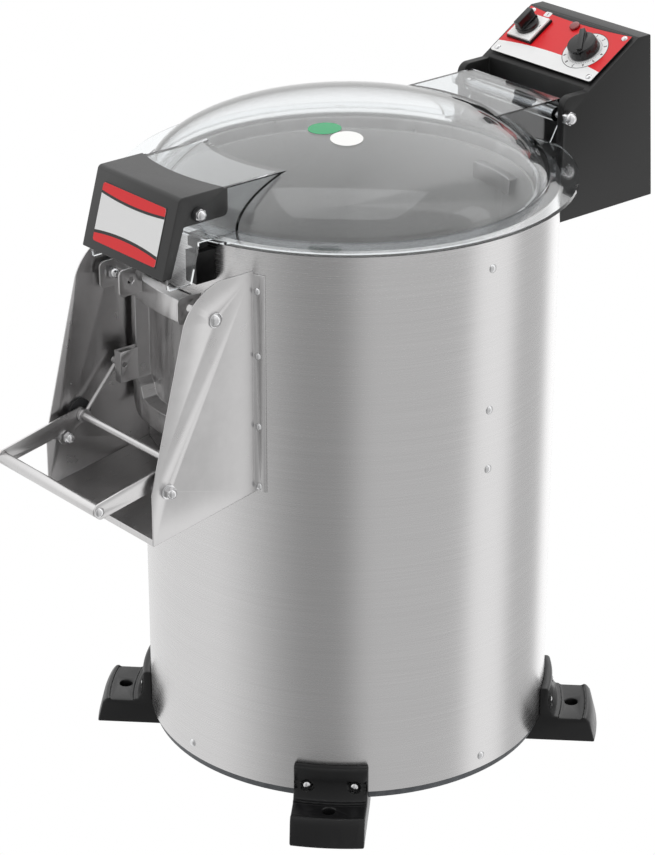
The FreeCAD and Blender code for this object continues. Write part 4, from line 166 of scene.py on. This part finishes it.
# Casing: stainless sheet rolled to a drum and welded down the back, with a satin brushed face.
# The brush runs round the drum, so light stands on it in broad upright bands.
satin_steel, tree, shader = surface("satin_stainless_steel", "#CDCCCC", 1.0, 0.26, Anisotropic=0.6)
grain(tree, shader, (6, 6, 900), ("#CAC9C9", "#D1D0D0"), (0.24, 0.29), 0.000004, 3.0)
tangent = add_node(tree, "ShaderNodeTangent", {"direction_type": "RADIAL", "axis": "Z"})
tree.links.new(tangent.outputs[0], shader.inputs["Tangent"])
shader.inputs["Anisotropic Rotation"].default_value = 0.25
casing = clad("casing", satin_steel)
casing.data.polygons.foreach_set("use_smooth", [True] * len(casing.data.polygons))
drum_wall = (1.0, 1.0, 0.0)
true_round(casing, drum_wall, 0.0)

# Peeling chamber: an inner drum of the same sheet with the outlet duct welded in, and a pan.
# The wall is lined with bonded silicon carbide, a grey coat as rough as coarse sandpaper.
plain_steel, tree, shader = surface("bright_rolled_stainless", "#C8C7C7", 1.0, 0.32)
grain(tree, shader, (40, 40, 40), ("#C1C0C0", "#CFCECE"), (0.26, 0.4), 0)
true_round(dress("inner_drum", plain_steel), drum_wall, 0.0)
dress("chamber_floor", plain_steel)
carbide, tree, shader = surface("bonded_silicon_carbide", "#A5A4A3", 0.0, 0.9)
grain(tree, shader, (700, 700, 700), ("#999897", "#B2B1B0"), (0.75, 0.95), 0.0003, 2.0)
true_round(dress("abrasive_lining", carbide), drum_wall, 0.0)
dress("disc_grit", carbide)

# Disc and drive: a cast disc on a steel shaft in two bearings, a belt and a flange motor.
# Cast and turned parts keep a duller skin than the sheet around them.
cast_aluminium, tree, shader = surface("cast_aluminium", "#A9AAAB", 1.0, 0.5)
grain(tree, shader, (400, 400, 400), ("#9C9D9E", "#B4B5B6"), (0.42, 0.6), 0.0001)
cast_iron, tree, shader = surface("grey_cast_iron", "#55565A", 0.9, 0.6)
grain(tree, shader, (500, 500, 500), ("#4B4C50", "#606166"), (0.5, 0.7), 0.0002)
turned_steel, tree, shader = surface("turned_steel", "#B8B8BA", 1.0, 0.25)
grain(tree, shader, (20, 20, 1500), ("#AEAEB0", "#C2C2C4"), (0.2, 0.32), 0)
machine_enamel, tree, shader = surface("grey_machine_enamel", "#4A5058", 0.0, 0.4)
grain(tree, shader, (300, 300, 300), ("#454B53", "#50565E"), (0.34, 0.46), 0.0001)
dress("abrasive_disc", cast_aluminium)
for node in ("main_shaft", "hub_nut", "motor_rotor", "bearings"):
    dress(node, turned_steel)
for node in ("bearing_housing", "driven_pulley", "motor_pulley"):
    dress(node, cast_iron)
dress("motor_plate", zinc_coated)
dress("motor_housing", machine_enamel, 0.001)

# Rubber parts: the rim gasket, shaft seal, belt, chute bumper and door seal.
# Moulded nitrile, matt and slightly dusty, so its black is lifted.
nitrile, tree, shader = surface("moulded_nitrile_rubber", "#2B2B2C", 0.0, 0.7)
grain(tree, shader, (500, 500, 500), ("#262627", "#333334"), (0.62, 0.8), 0.0001)
for node in ("rim_gasket", "shaft_seal", "drive_belt", "chute_bumper", "door_seal"):
    dress(node, nitrile, 0.0005)

# Water: a grey waste pipe, the stainless inlet pipe with its deflector, and the cable gland.
# The waste pipe is extruded polypropylene, smooth along its length.
grey_polypropylene, tree, shader = surface("grey_polypropylene", "#7C7F82", 0.0, 0.45)
grain(tree, shader, (60, 60, 400), ("#777A7D", "#828588"), (0.4, 0.52), 0)
dress("drain_pipe", grey_polypropylene)
dress("water_pipe", plain_steel)
dress("cable_gland", moulded_nylon, 0.0006)

# Chute: two laser-cut side plates on rolled flanges, a sloping tray, and their joints.
# The same satin sheet, but flat, so each plate takes one even tone with bright cut edges.
flat_steel, tree, shader = surface("satin_stainless_flat", "#CDCCCC", 1.0, 0.3)
grain(tree, shader, (900, 30, 30), ("#C9C8C8", "#D1D0D0"), (0.27, 0.33), 0.000003, 3.0)
for node in ("left_chute_plate", "right_chute_plate", "chute_tray"):
    dress(node, flat_steel, 0.0005)

# Lever and link: a bent-up frame of bars and tube that pulls the door open.
# Satin stainless bar with the grip tube polished by hands.
for node in ("lever_frame", "lever_grip", "link_rod"):
    dress(node, flat_steel, 0.0006)

# Door: a pressed leaf with a sunk panel, on two brackets, with the link's lug.
# Drawn from 2 mm sheet, so its bends are soft and catch the light.
for node, edge in (("door_leaf", 0.0015), ("door_brackets", 0.0006), ("door_lug", 0.0005)):
    dress(node, flat_steel, edge)

# Lid: one clear polycarbonate moulding, with dome, flange, hinge bridge and front lugs.
# Clear and glossy, seen mostly by its edges and by soft reflections.
polycarbonate = bpy.data.materials.new("clear_polycarbonate")
polycarbonate.use_nodes = True
tree = polycarbonate.node_tree
shader = tree.nodes["Principled BSDF"]
for socket, value in {"Base Color": linear("#F7F9FA"), "Roughness": 0.03, "IOR": 1.58,
                      "Transmission Weight": 1.0}.items():
    shader.inputs[socket].default_value = value
dome_radius, dome_height, dome_foot = 0.266, 0.09, 0.826
lid = clad("lid", polycarbonate)
lid.visible_shadow = False
true_round(lid, (1 / dome_radius ** 2, 1 / dome_radius ** 2, 1 / dome_height ** 2), dome_foot)
true_round(lid, drum_wall, 0.0)


def on_dome(x, y, lift):
    """A point just above the dome."""
    fall = math.sqrt(1 - (x * x + y * y) / dome_radius ** 2)
    return (x, y, dome_foot + dome_height * fall + lift)


def piece(name, mesh, material, body):
    """A finished piece at the origin, on its body, with its finish."""
    thing = bpy.data.objects.new(name, mesh)
    mesh.name = name
    if material:
        mesh.materials.clear()
        mesh.materials.append(material)
    bpy.context.scene.collection.objects.link(thing)
    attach(thing, body)
    return thing


# Two blank round labels stuck on the dome, one green and one white.
# Thin glossy film that follows the curve; each is left bare.
for name, colour, centre, long_half, short_half in (
        ("green_label", "#1E9E63", (0.0390, -0.0751), 0.0219, 0.0177),
        ("white_label", "#F2F2F0", (0.0806, -0.0732), 0.0213, 0.0199)):
    film = surface("glossy_film_" + name, colour, 0.0, 0.25)[0]
    turn = math.radians(46)
    shape = bmesh.new()
    layers = []
    for lift in (0.0001, 0.0003):
        rings = []
        for ring in range(1, 7):
            spots = []
            for step in range(48):
                angle = 2 * math.pi * step / 48
                along = long_half * ring / 6 * math.cos(angle)
                across = short_half * ring / 6 * math.sin(angle)
                x = centre[0] + along * math.cos(turn) - across * math.sin(turn)
                y = centre[1] + along * math.sin(turn) + across * math.cos(turn)
                spots.append(shape.verts.new(on_dome(x, y, lift)))
            rings.append(spots)
        middle = shape.verts.new(on_dome(*centre, lift))
        for step in range(48):
            shape.faces.new((middle, rings[0][step], rings[0][(step + 1) % 48]))
            for inner, outer in zip(rings, rings[1:]):
                shape.faces.new((inner[step], outer[step], outer[(step + 1) % 48], inner[(step + 1) % 48]))
        layers.append(rings[-1])
    for step in range(48):
        shape.faces.new((layers[0][step], layers[0][(step + 1) % 48], layers[1][(step + 1) % 48],
                         layers[1][step]))
    bmesh.ops.recalc_face_normals(shape, faces=shape.faces)
    mesh = bpy.data.meshes.new(name)
    shape.to_mesh(mesh)
    piece(name, mesh, film, "lid")

# Front cap: a folded steel hood with a black fine-texture powder coat, bolted to the lid's lugs.
# The coat is matt with a fine orange peel that softens its folds.
powder_coat, tree, shader = surface("black_powder_coat", "#181818", 0.0, 0.46, Specular_IOR_Level=0.4)
grain(tree, shader, (1200, 1200, 1200), ("#141414", "#1C1C1C"), (0.4, 0.54), 0.00008, 2.0)
# The cap's copy of the black coat is painted lighter than the box's: painted light standing in for the light
# that falls on the cap.
cap_coat_painted_lighter, tree, shader = surface("black_powder_coat_cap_painted_lighter", "#2E2E2E", 0.0, 0.44)
grain(tree, shader, (1200, 1200, 1200), ("#2A2A2A", "#323232"), (0.38, 0.52), 0.00008, 2.0)
dress("front_cap", cap_coat_painted_lighter, 0.0015)

# Badge on the cap: a printed aluminium plate, left without a name on its pale middle.
# Red bands above and below, each with a thin black line along its bowed edge.
def prism(name, outline, low, high, place, material, body):
    """A thin plate of one flat outline, in millimetres on the plane given by place."""
    shape = bmesh.new()
    floor_spots = [shape.verts.new(place @ Vector((u / 1000, v / 1000, low / 1000))) for u, v in outline]
    roof_spots = [shape.verts.new(place @ Vector((u / 1000, v / 1000, high / 1000))) for u, v in outline]
    shape.faces.new(floor_spots)
    shape.faces.new(roof_spots)
    for step in range(len(outline)):
        after = (step + 1) % len(outline)
        shape.faces.new((floor_spots[step], floor_spots[after], roof_spots[after], roof_spots[step]))
    bmesh.ops.recalc_face_normals(shape, faces=shape.faces)
    mesh = bpy.data.meshes.new(name)
    shape.to_mesh(mesh)
    return piece(name, mesh, material, body)


def bowed(half, level, bow):
    """Points along a line across the plate that bows up in its middle."""
    return [(half * step / 12, level + bow * (1 - (step / 12) ** 2)) for step in range(-12, 13)]


def rounded(left, low, right, high, radius):
    """A rectangle with rounded corners."""
    return [(x + radius * math.cos(math.radians(start + turn)),
             y + radius * math.sin(math.radians(start + turn)))
            for x, y, start in ((right - radius, high - radius, 0), (left + radius, high - radius, 90),
                                (left + radius, low + radius, 180), (right - radius, low + radius, 270))
            for turn in range(0, 91, 15)]


print_red = surface("printed_red_enamel", "#D8151D", 0.0, 0.32)[0]
print_black = surface("printed_black_ink", "#0E0E0F", 0.0, 0.35)[0]
print_white = surface("printed_white_enamel", "#EDEDED", 0.0, 0.3)[0]
print_grey = surface("printed_pale_grey_enamel", "#E2E2E2", 0.0, 0.32)[0]
# The plate under the print takes the cap's copy of the coat, painted lighter as light on the cap.
dress("badge_plate", cap_coat_painted_lighter, 0.0002)
badge = Matrix(((1, 0, 0, 0), (0, 0.2743, -0.9616, -0.37208), (0, 0.9616, 0.2743, 0.80076), (0, 0, 0, 1)))
prism("badge_field", rounded(-65, 0.6, 65, 76.4, 4), -0.1, 0.10, badge, print_grey, "lid")
half = 64.9
top = [(61, 76.4), (-61, 76.4), (-64, 75.4), (-64.9, 72.4)]
prism("badge_red_top", bowed(half, 66, -4) + [(64.9, 72.4), (64, 75.4)] + top, 0, 0.22, badge,
      print_red, "lid")
prism("badge_line_top", bowed(half, 62.5, -4) + bowed(half, 66, -4)[::-1], 0, 0.2, badge, print_black, "lid")
prism("badge_red_low", bowed(half, 10.5, 5)[::-1] + [
    (-64.9, 4.6), (-64, 1.6), (-61, 0.6), (61, 0.6), (64, 1.6), (64.9, 4.6)], 0, 0.22, badge,
      print_red, "lid")
prism("badge_line_low", bowed(half, 10.5, 5) + bowed(half, 14.5, 5)[::-1], 0, 0.2, badge, print_black, "lid")

# Lid hinge and lid switch: a steel rod through the cheeks, and a coded magnetic switch.
dress("lid_hinge_rod", turned_steel)
for node in ("lid_switch", "lid_magnet"):
    dress(node, moulded_nylon, 0.0008)

# Control box: folded sheet with cheeks either side of the lid's hinge, and a rear cover.
# The same black powder coat as the cap, without the painted lightening that the cap's copy has.
dress("control_box", powder_coat, 0.0012)
dress("box_rear_cover", powder_coat, 0.0005)
dress("box_bracket", powder_coat, 0.0008)
for node in ("face_plate", "switch_body", "timer_body", "contactor"):
    dress(node, moulded_nylon, 0.0004)
gloss_black, tree, shader = surface("gloss_black_phenolic", "#0D0D0E", 0.0, 0.22)
grain(tree, shader, (200, 200, 200), ("#0B0B0C", "#101011"), (0.18, 0.28), 0)
for node in ("switch_knob", "timer_knob"):
    dress(node, gloss_black, 0.001)
white_plate, tree, shader = surface("white_moulded_abs", "#F0F0EF", 0.0, 0.3)
grain(tree, shader, (300, 300, 300), ("#EEEEED", "#F3F3F2"), (0.26, 0.36), 0)
dress("switch_plate", white_plate, 0.0004)
lens, tree, shader = surface("dark_red_lens", "#7E0E12", 0.0, 0.12, Coat_Weight=0.6)
grain(tree, shader, (900, 900, 900), ("#6C0C10", "#92161B"), (0.1, 0.18), 0.0001)
dress("pilot_lamp", lens, 0.0012)

# Printed face of the panel: red field between a white strip below and the black edge above.
# Screen printed on the plate, with a white dial ring, and bare where a name would be.
lean = math.radians(31.2)
panel = Matrix(((1, 0, 0, 0), (0, math.cos(lean), -math.sin(lean), 0.3452),
                (0, math.sin(lean), math.cos(lean), 0.9002), (0, 0, 0, 1)))
face = 1.2
prism("panel_white_strip", [(x, y) for x, y in rounded(-99, 0.6, 99, 12, 4) if y < 6]
      + bowed(99, 20, 8)[::-1], face - 0.1, face + 0.12, panel, print_white, "frame")
prism("panel_red_field", bowed(99, 20, 8) + bowed(99, 92.5, -5.5)[::-1], face - 0.1, face + 0.12, panel,
      print_red, "frame")
dial_u, dial_v = 49.0, 47.0
circle = [(math.cos(math.radians(turn)), math.sin(math.radians(turn))) for turn in range(0, 360, 5)]
prism("dial_edge", [(dial_u + 34.3 * x, dial_v + 34.3 * y) for x, y in circle], face, face + 0.2, panel,
      print_black, "frame")
prism("dial_ring", [(dial_u + 33.4 * x, dial_v + 33.4 * y) for x, y in circle], face, face + 0.3, panel,
      print_white, "frame")
prism("switch_label", rounded(-66, 82, -54, 91, 2.2), face, face + 0.25, panel, print_white, "frame")


def numerals(name, marks, place, body):
    """Figures as thin raised print; each mark is its text, place, size and turn."""
    shape = bmesh.new()
    for text, u, v, height, size, turn in marks:
        data = bpy.data.curves.new(name, "FONT")
        data.body = text
        data.size = size / 1000
        data.extrude = 0.00006
        data.align_x = "CENTER"
        data.align_y = "CENTER"
        data.offset = 0.00012
        written = bpy.data.objects.new(name, data)
        bpy.context.scene.collection.objects.link(written)
        bpy.context.view_layer.update()
        flat = bpy.data.meshes.new_from_object(written.evaluated_get(bpy.context.evaluated_depsgraph_get()))
        flat.transform(place @ Matrix.Translation((u / 1000, v / 1000, height / 1000))
                       @ Matrix.Rotation(math.radians(turn), 4, "Z"))
        shape.from_mesh(flat)
        bpy.data.objects.remove(written)
        bpy.data.curves.remove(data)
        bpy.data.meshes.remove(flat)
    mesh = bpy.data.meshes.new(name)
    shape.to_mesh(mesh)
    return piece(name, mesh, print_black, body)


numerals("dial_numerals", [
    (str(count), dial_u + 29.3 * math.cos(math.radians(125 - 30 * count)),
     dial_v + 29.3 * math.sin(math.radians(125 - 30 * count)), face + 0.32, 6.4, 35 - 30 * count)
    for count in range(11)], panel, "frame")
numerals("switch_numerals", [("0", -66, 72.2, 8.25, 5.5, 0), ("1", -47.5, 58, 8.25, 5.5, 0),
                             ("1", -60, 86.5, face + 0.27, 7, 0)], panel, "frame")

# Minute ticks round the dial, printed between the figures and the knob.
# Sixty fine strokes of one length, all alike.
tree = bpy.data.node_groups.new("dial_ticks", "GeometryNodeTree")
tree.interface.new_socket("Geometry", in_out="INPUT", socket_type="NodeSocketGeometry")
sockets = {name: tree.interface.new_socket(name, in_out="INPUT", socket_type=kind) for name, kind in (
    ("Count", "NodeSocketInt"), ("Radius", "NodeSocketFloat"), ("Stroke", "NodeSocketVector"),
    ("Ink", "NodeSocketMaterial"))}
tree.interface.new_socket("Geometry", in_out="OUTPUT", socket_type="NodeSocketGeometry")
given = add_node(tree, "NodeGroupInput").outputs
ring = add_node(tree, "GeometryNodeMeshCircle", {}, {"Vertices": given["Count"], "Radius": given["Radius"]})
stroke = add_node(tree, "GeometryNodeMeshCube", {}, {"Size": given["Stroke"]})
share = add_node(tree, "ShaderNodeMath", {"operation": "DIVIDE"}, {
    0: add_node(tree, "GeometryNodeInputIndex").outputs[0], 1: given["Count"]})
turn = add_node(tree, "ShaderNodeMath", {"operation": "MULTIPLY"}, {0: share.outputs[0], 1: 2 * math.pi})
turned = add_node(tree, "ShaderNodeCombineXYZ", {}, {"Z": turn.outputs[0]})
strokes = add_node(tree, "GeometryNodeInstanceOnPoints", {}, {
    "Points": ring.outputs[0], "Instance": stroke.outputs[0], "Rotation": turned.outputs[0]})
whole = add_node(tree, "GeometryNodeRealizeInstances", {}, {"Geometry": strokes.outputs[0]})
inked = add_node(tree, "GeometryNodeSetMaterial", {}, {
    "Geometry": whole.outputs[0], "Material": given["Ink"]})
add_node(tree, "NodeGroupOutput", {}, {"Geometry": inked.outputs[0]})
maker = bpy.data.objects.new("tick_maker", bpy.data.meshes.new("tick_maker"))
bpy.context.scene.collection.objects.link(maker)
modifier = maker.modifiers.new("Ticks", "NODES")
modifier.node_group = tree
for name, value in (("Count", 60), ("Radius", 0.0248), ("Stroke", (0.0018, 0.0005, 0.0001)),
                    ("Ink", print_black)):
    modifier[sockets[name].identifier] = value
bpy.context.view_layer.update()
mesh = bpy.data.meshes.new_from_object(maker.evaluated_get(bpy.context.evaluated_depsgraph_get()))
bpy.data.objects.remove(maker)
mesh.transform(panel @ Matrix.Translation((dial_u / 1000, dial_v / 1000, (face + 0.33) / 1000)))
piece("dial_ticks", mesh, None, "frame")

# Black sealing washers under the acorn nuts on the box's cheeks and on the cap's ears.
# Flat nylon rings, a little wider than the nut.
for name, body, reach, y, z in (("cheek_washers", "frame", 0.1064, 0.296, 0.863),
                                ("ear_washers", "lid", 0.0844, -0.318, 0.865)):
    shape = bmesh.new()
    for side in (-1, 1):
        rings = []
        for radius, across in ((0.004, 0), (0.0088, 0), (0.0095, 0.0004), (0.0095, 0.0011), (0.0088, 0.0015),
                               (0.004, 0.0015)):
            rings.append([shape.verts.new((side * (reach + across),
                                           y + radius * math.cos(2 * math.pi * step / 36),
                                           z + radius * math.sin(2 * math.pi * step / 36)))
                          for step in range(36)])
        for near, far in zip(rings, rings[1:] + rings[:1]):
            for step in range(36):
                shape.faces.new((near[step], near[(step + 1) % 36], far[(step + 1) % 36], far[step]))
    bmesh.ops.recalc_face_normals(shape, faces=shape.faces)
    mesh = bpy.data.meshes.new(name)
    shape.to_mesh(mesh)
    piece(name, mesh, moulded_nylon, body)

# Fasteners: stainless dome-head screws, bolts and acorn nuts, bright from rolling and tumbling.
bright_fastener, tree, shader = surface("bright_stainless_fastener", "#D9D9DA", 1.0, 0.18)
grain(tree, shader, (300, 300, 300), ("#D0D0D1", "#E2E2E3"), (0.14, 0.24), 0)
for node in ("casing_screws", "box_screws", "grip_screws", "pivot_bolts", "acorn_nuts", "cap_bolts"):
    dress(node, bright_fastener, 0.0002, True)

# Studio: a pale floor, soft boxes round the object, and the camera where the photograph was taken.
# The world is a ring of soft upright light bands; the camera and clear parts see plain white.
world = bpy.data.worlds.new("studio")
bpy.context.scene.world = world
world.use_nodes = True
tree = world.node_tree
tree.nodes.clear()
direction = add_node(tree, "ShaderNodeSeparateXYZ", {}, {
    0: add_node(tree, "ShaderNodeTexCoord").outputs["Generated"]})
bearing = add_node(tree, "ShaderNodeMath", {"operation": "ARCTAN2"}, {
    0: direction.outputs["Y"], 1: direction.outputs["X"]})
share = add_node(tree, "ShaderNodeMapRange", {}, {
    "Value": bearing.outputs[0], "From Min": -math.pi, "From Max": math.pi, "To Min": 0.0, "To Max": 1.0})
bands = add_node(tree, "ShaderNodeValToRGB", {}, {"Fac": share.outputs[0]})
cards = (
    (-180, -125, 1.0),   # the wide white sheet on the left, which runs on behind
    (-60, -48, 0.4),     # a black flag beside the camera
    (-26, 24, 0.7),      # grey fill on the right
    (38, 54, 1.2),       # the upright strip light on the right
    (68, 90, 0.7),       # grey fill at the rear right
    (108, 118, 1.4),     # the upright strip light at the rear
    (140, 179, 1.0))     # the wide white sheet again
brightest = 1.5
ramp = bands.color_ramp
ramp.interpolation = "EASE"
while len(ramp.elements) < 2 * len(cards):
    ramp.elements.new(0.5)
ends = [(bearing, level / brightest) for first, last, level in cards for bearing in (first, last)]
for element, (bearing, level) in zip(ramp.elements, ends):
    element.position = (bearing + 180) / 360
    element.color = (level, level, level, 1)
above = add_node(tree, "ShaderNodeMapRange", {}, {
    "Value": direction.outputs["Z"], "From Min": 0.1, "From Max": 0.8, "To Min": brightest,
    "To Max": 1.4 * brightest})
reflected = add_node(tree, "ShaderNodeBackground", {}, {
    "Color": bands.outputs[0], "Strength": above.outputs[0]})
overhead = add_node(tree, "ShaderNodeMapRange", {}, {
    "Value": direction.outputs["Z"], "From Min": -0.1, "From Max": 1.0, "To Min": 0.38, "To Max": 0.85})
soft = add_node(tree, "ShaderNodeBackground", {}, {"Color": (1, 1, 1, 1), "Strength": overhead.outputs[0]})
white = add_node(tree, "ShaderNodeBackground", {}, {"Color": (1, 1, 1, 1), "Strength": 1.0})
path = add_node(tree, "ShaderNodeLightPath")
seen = add_node(tree, "ShaderNodeMath", {"operation": "MAXIMUM"}, {
    0: path.outputs["Is Camera Ray"], 1: path.outputs["Is Transmission Ray"]})
lit = add_node(tree, "ShaderNodeMixShader", {}, {
    0: path.outputs["Is Glossy Ray"], 1: soft.outputs[0], 2: reflected.outputs[0]})
mixed = add_node(tree, "ShaderNodeMixShader", {}, {
    0: seen.outputs[0], 1: lit.outputs[0], 2: white.outputs[0]})
add_node(tree, "ShaderNodeOutputWorld", {}, {"Surface": mixed.outputs[0]})

bpy.ops.mesh.primitive_plane_add(size=12, location=(0, 0, -0.0002))
floor = bpy.context.object
floor.name = "floor"
material, tree, shader = surface("pale_floor", "#F2F2F2", 0.0, 0.9)
tree.nodes.remove(shader)
path = add_node(tree, "ShaderNodeLightPath")
lit = add_node(tree, "ShaderNodeBsdfDiffuse", {}, {"Color": linear("#F4F4F4")})
white = add_node(tree, "ShaderNodeEmission", {}, {"Color": (1, 1, 1, 1), "Strength": 1.0})
seen = add_node(tree, "ShaderNodeMath", {"operation": "MAXIMUM"}, {
    0: path.outputs["Is Camera Ray"], 1: path.outputs["Is Transmission Ray"]})
mixed = add_node(tree, "ShaderNodeMixShader", {}, {
    0: seen.outputs[0], 1: lit.outputs[0], 2: white.outputs[0]})
tree.links.new(mixed.outputs[0], tree.nodes["Material Output"].inputs["Surface"])
floor.data.materials.append(material)
floor.visible_glossy = False

for name, place, aim, width, height, power in (
        ("left_box", (-1.2, -3.0, 1.9), (0, 0, 0.6), 0.9, 2.4, 10),
        ("right_box", (2.6, 1.8, 1.7), (0, 0, 0.6), 0.8, 2.4, 8),
        ("top_box", (0.4, -0.4, 3.4), (0, 0, 0.5), 2.4, 2.4, 26)):
    data = bpy.data.lights.new(name, "AREA")
    data.shape = "RECTANGLE"
    data.size = width
    data.size_y = height
    data.energy = power
    lamp = bpy.data.objects.new(name, data)
    lamp.visible_glossy = False
    lamp.location = place
    lamp.rotation_euler = (Vector(aim) - Vector(place)).to_track_quat("-Z", "Y").to_euler()
    bpy.context.scene.collection.objects.link(lamp)

data = bpy.data.cameras.new("camera")
data.lens = 122.99
data.sensor_width = 36
data.sensor_fit = "AUTO"
camera = bpy.data.objects.new("camera", data)
camera.location = (2.7738, -2.3809, 2.1180)
camera.rotation_euler = (math.radians(65.511), 0, math.radians(49.805))
bpy.context.scene.collection.objects.link(camera)
bpy.context.scene.camera = camera
bpy.context.scene.view_settings.view_transform = "Standard"
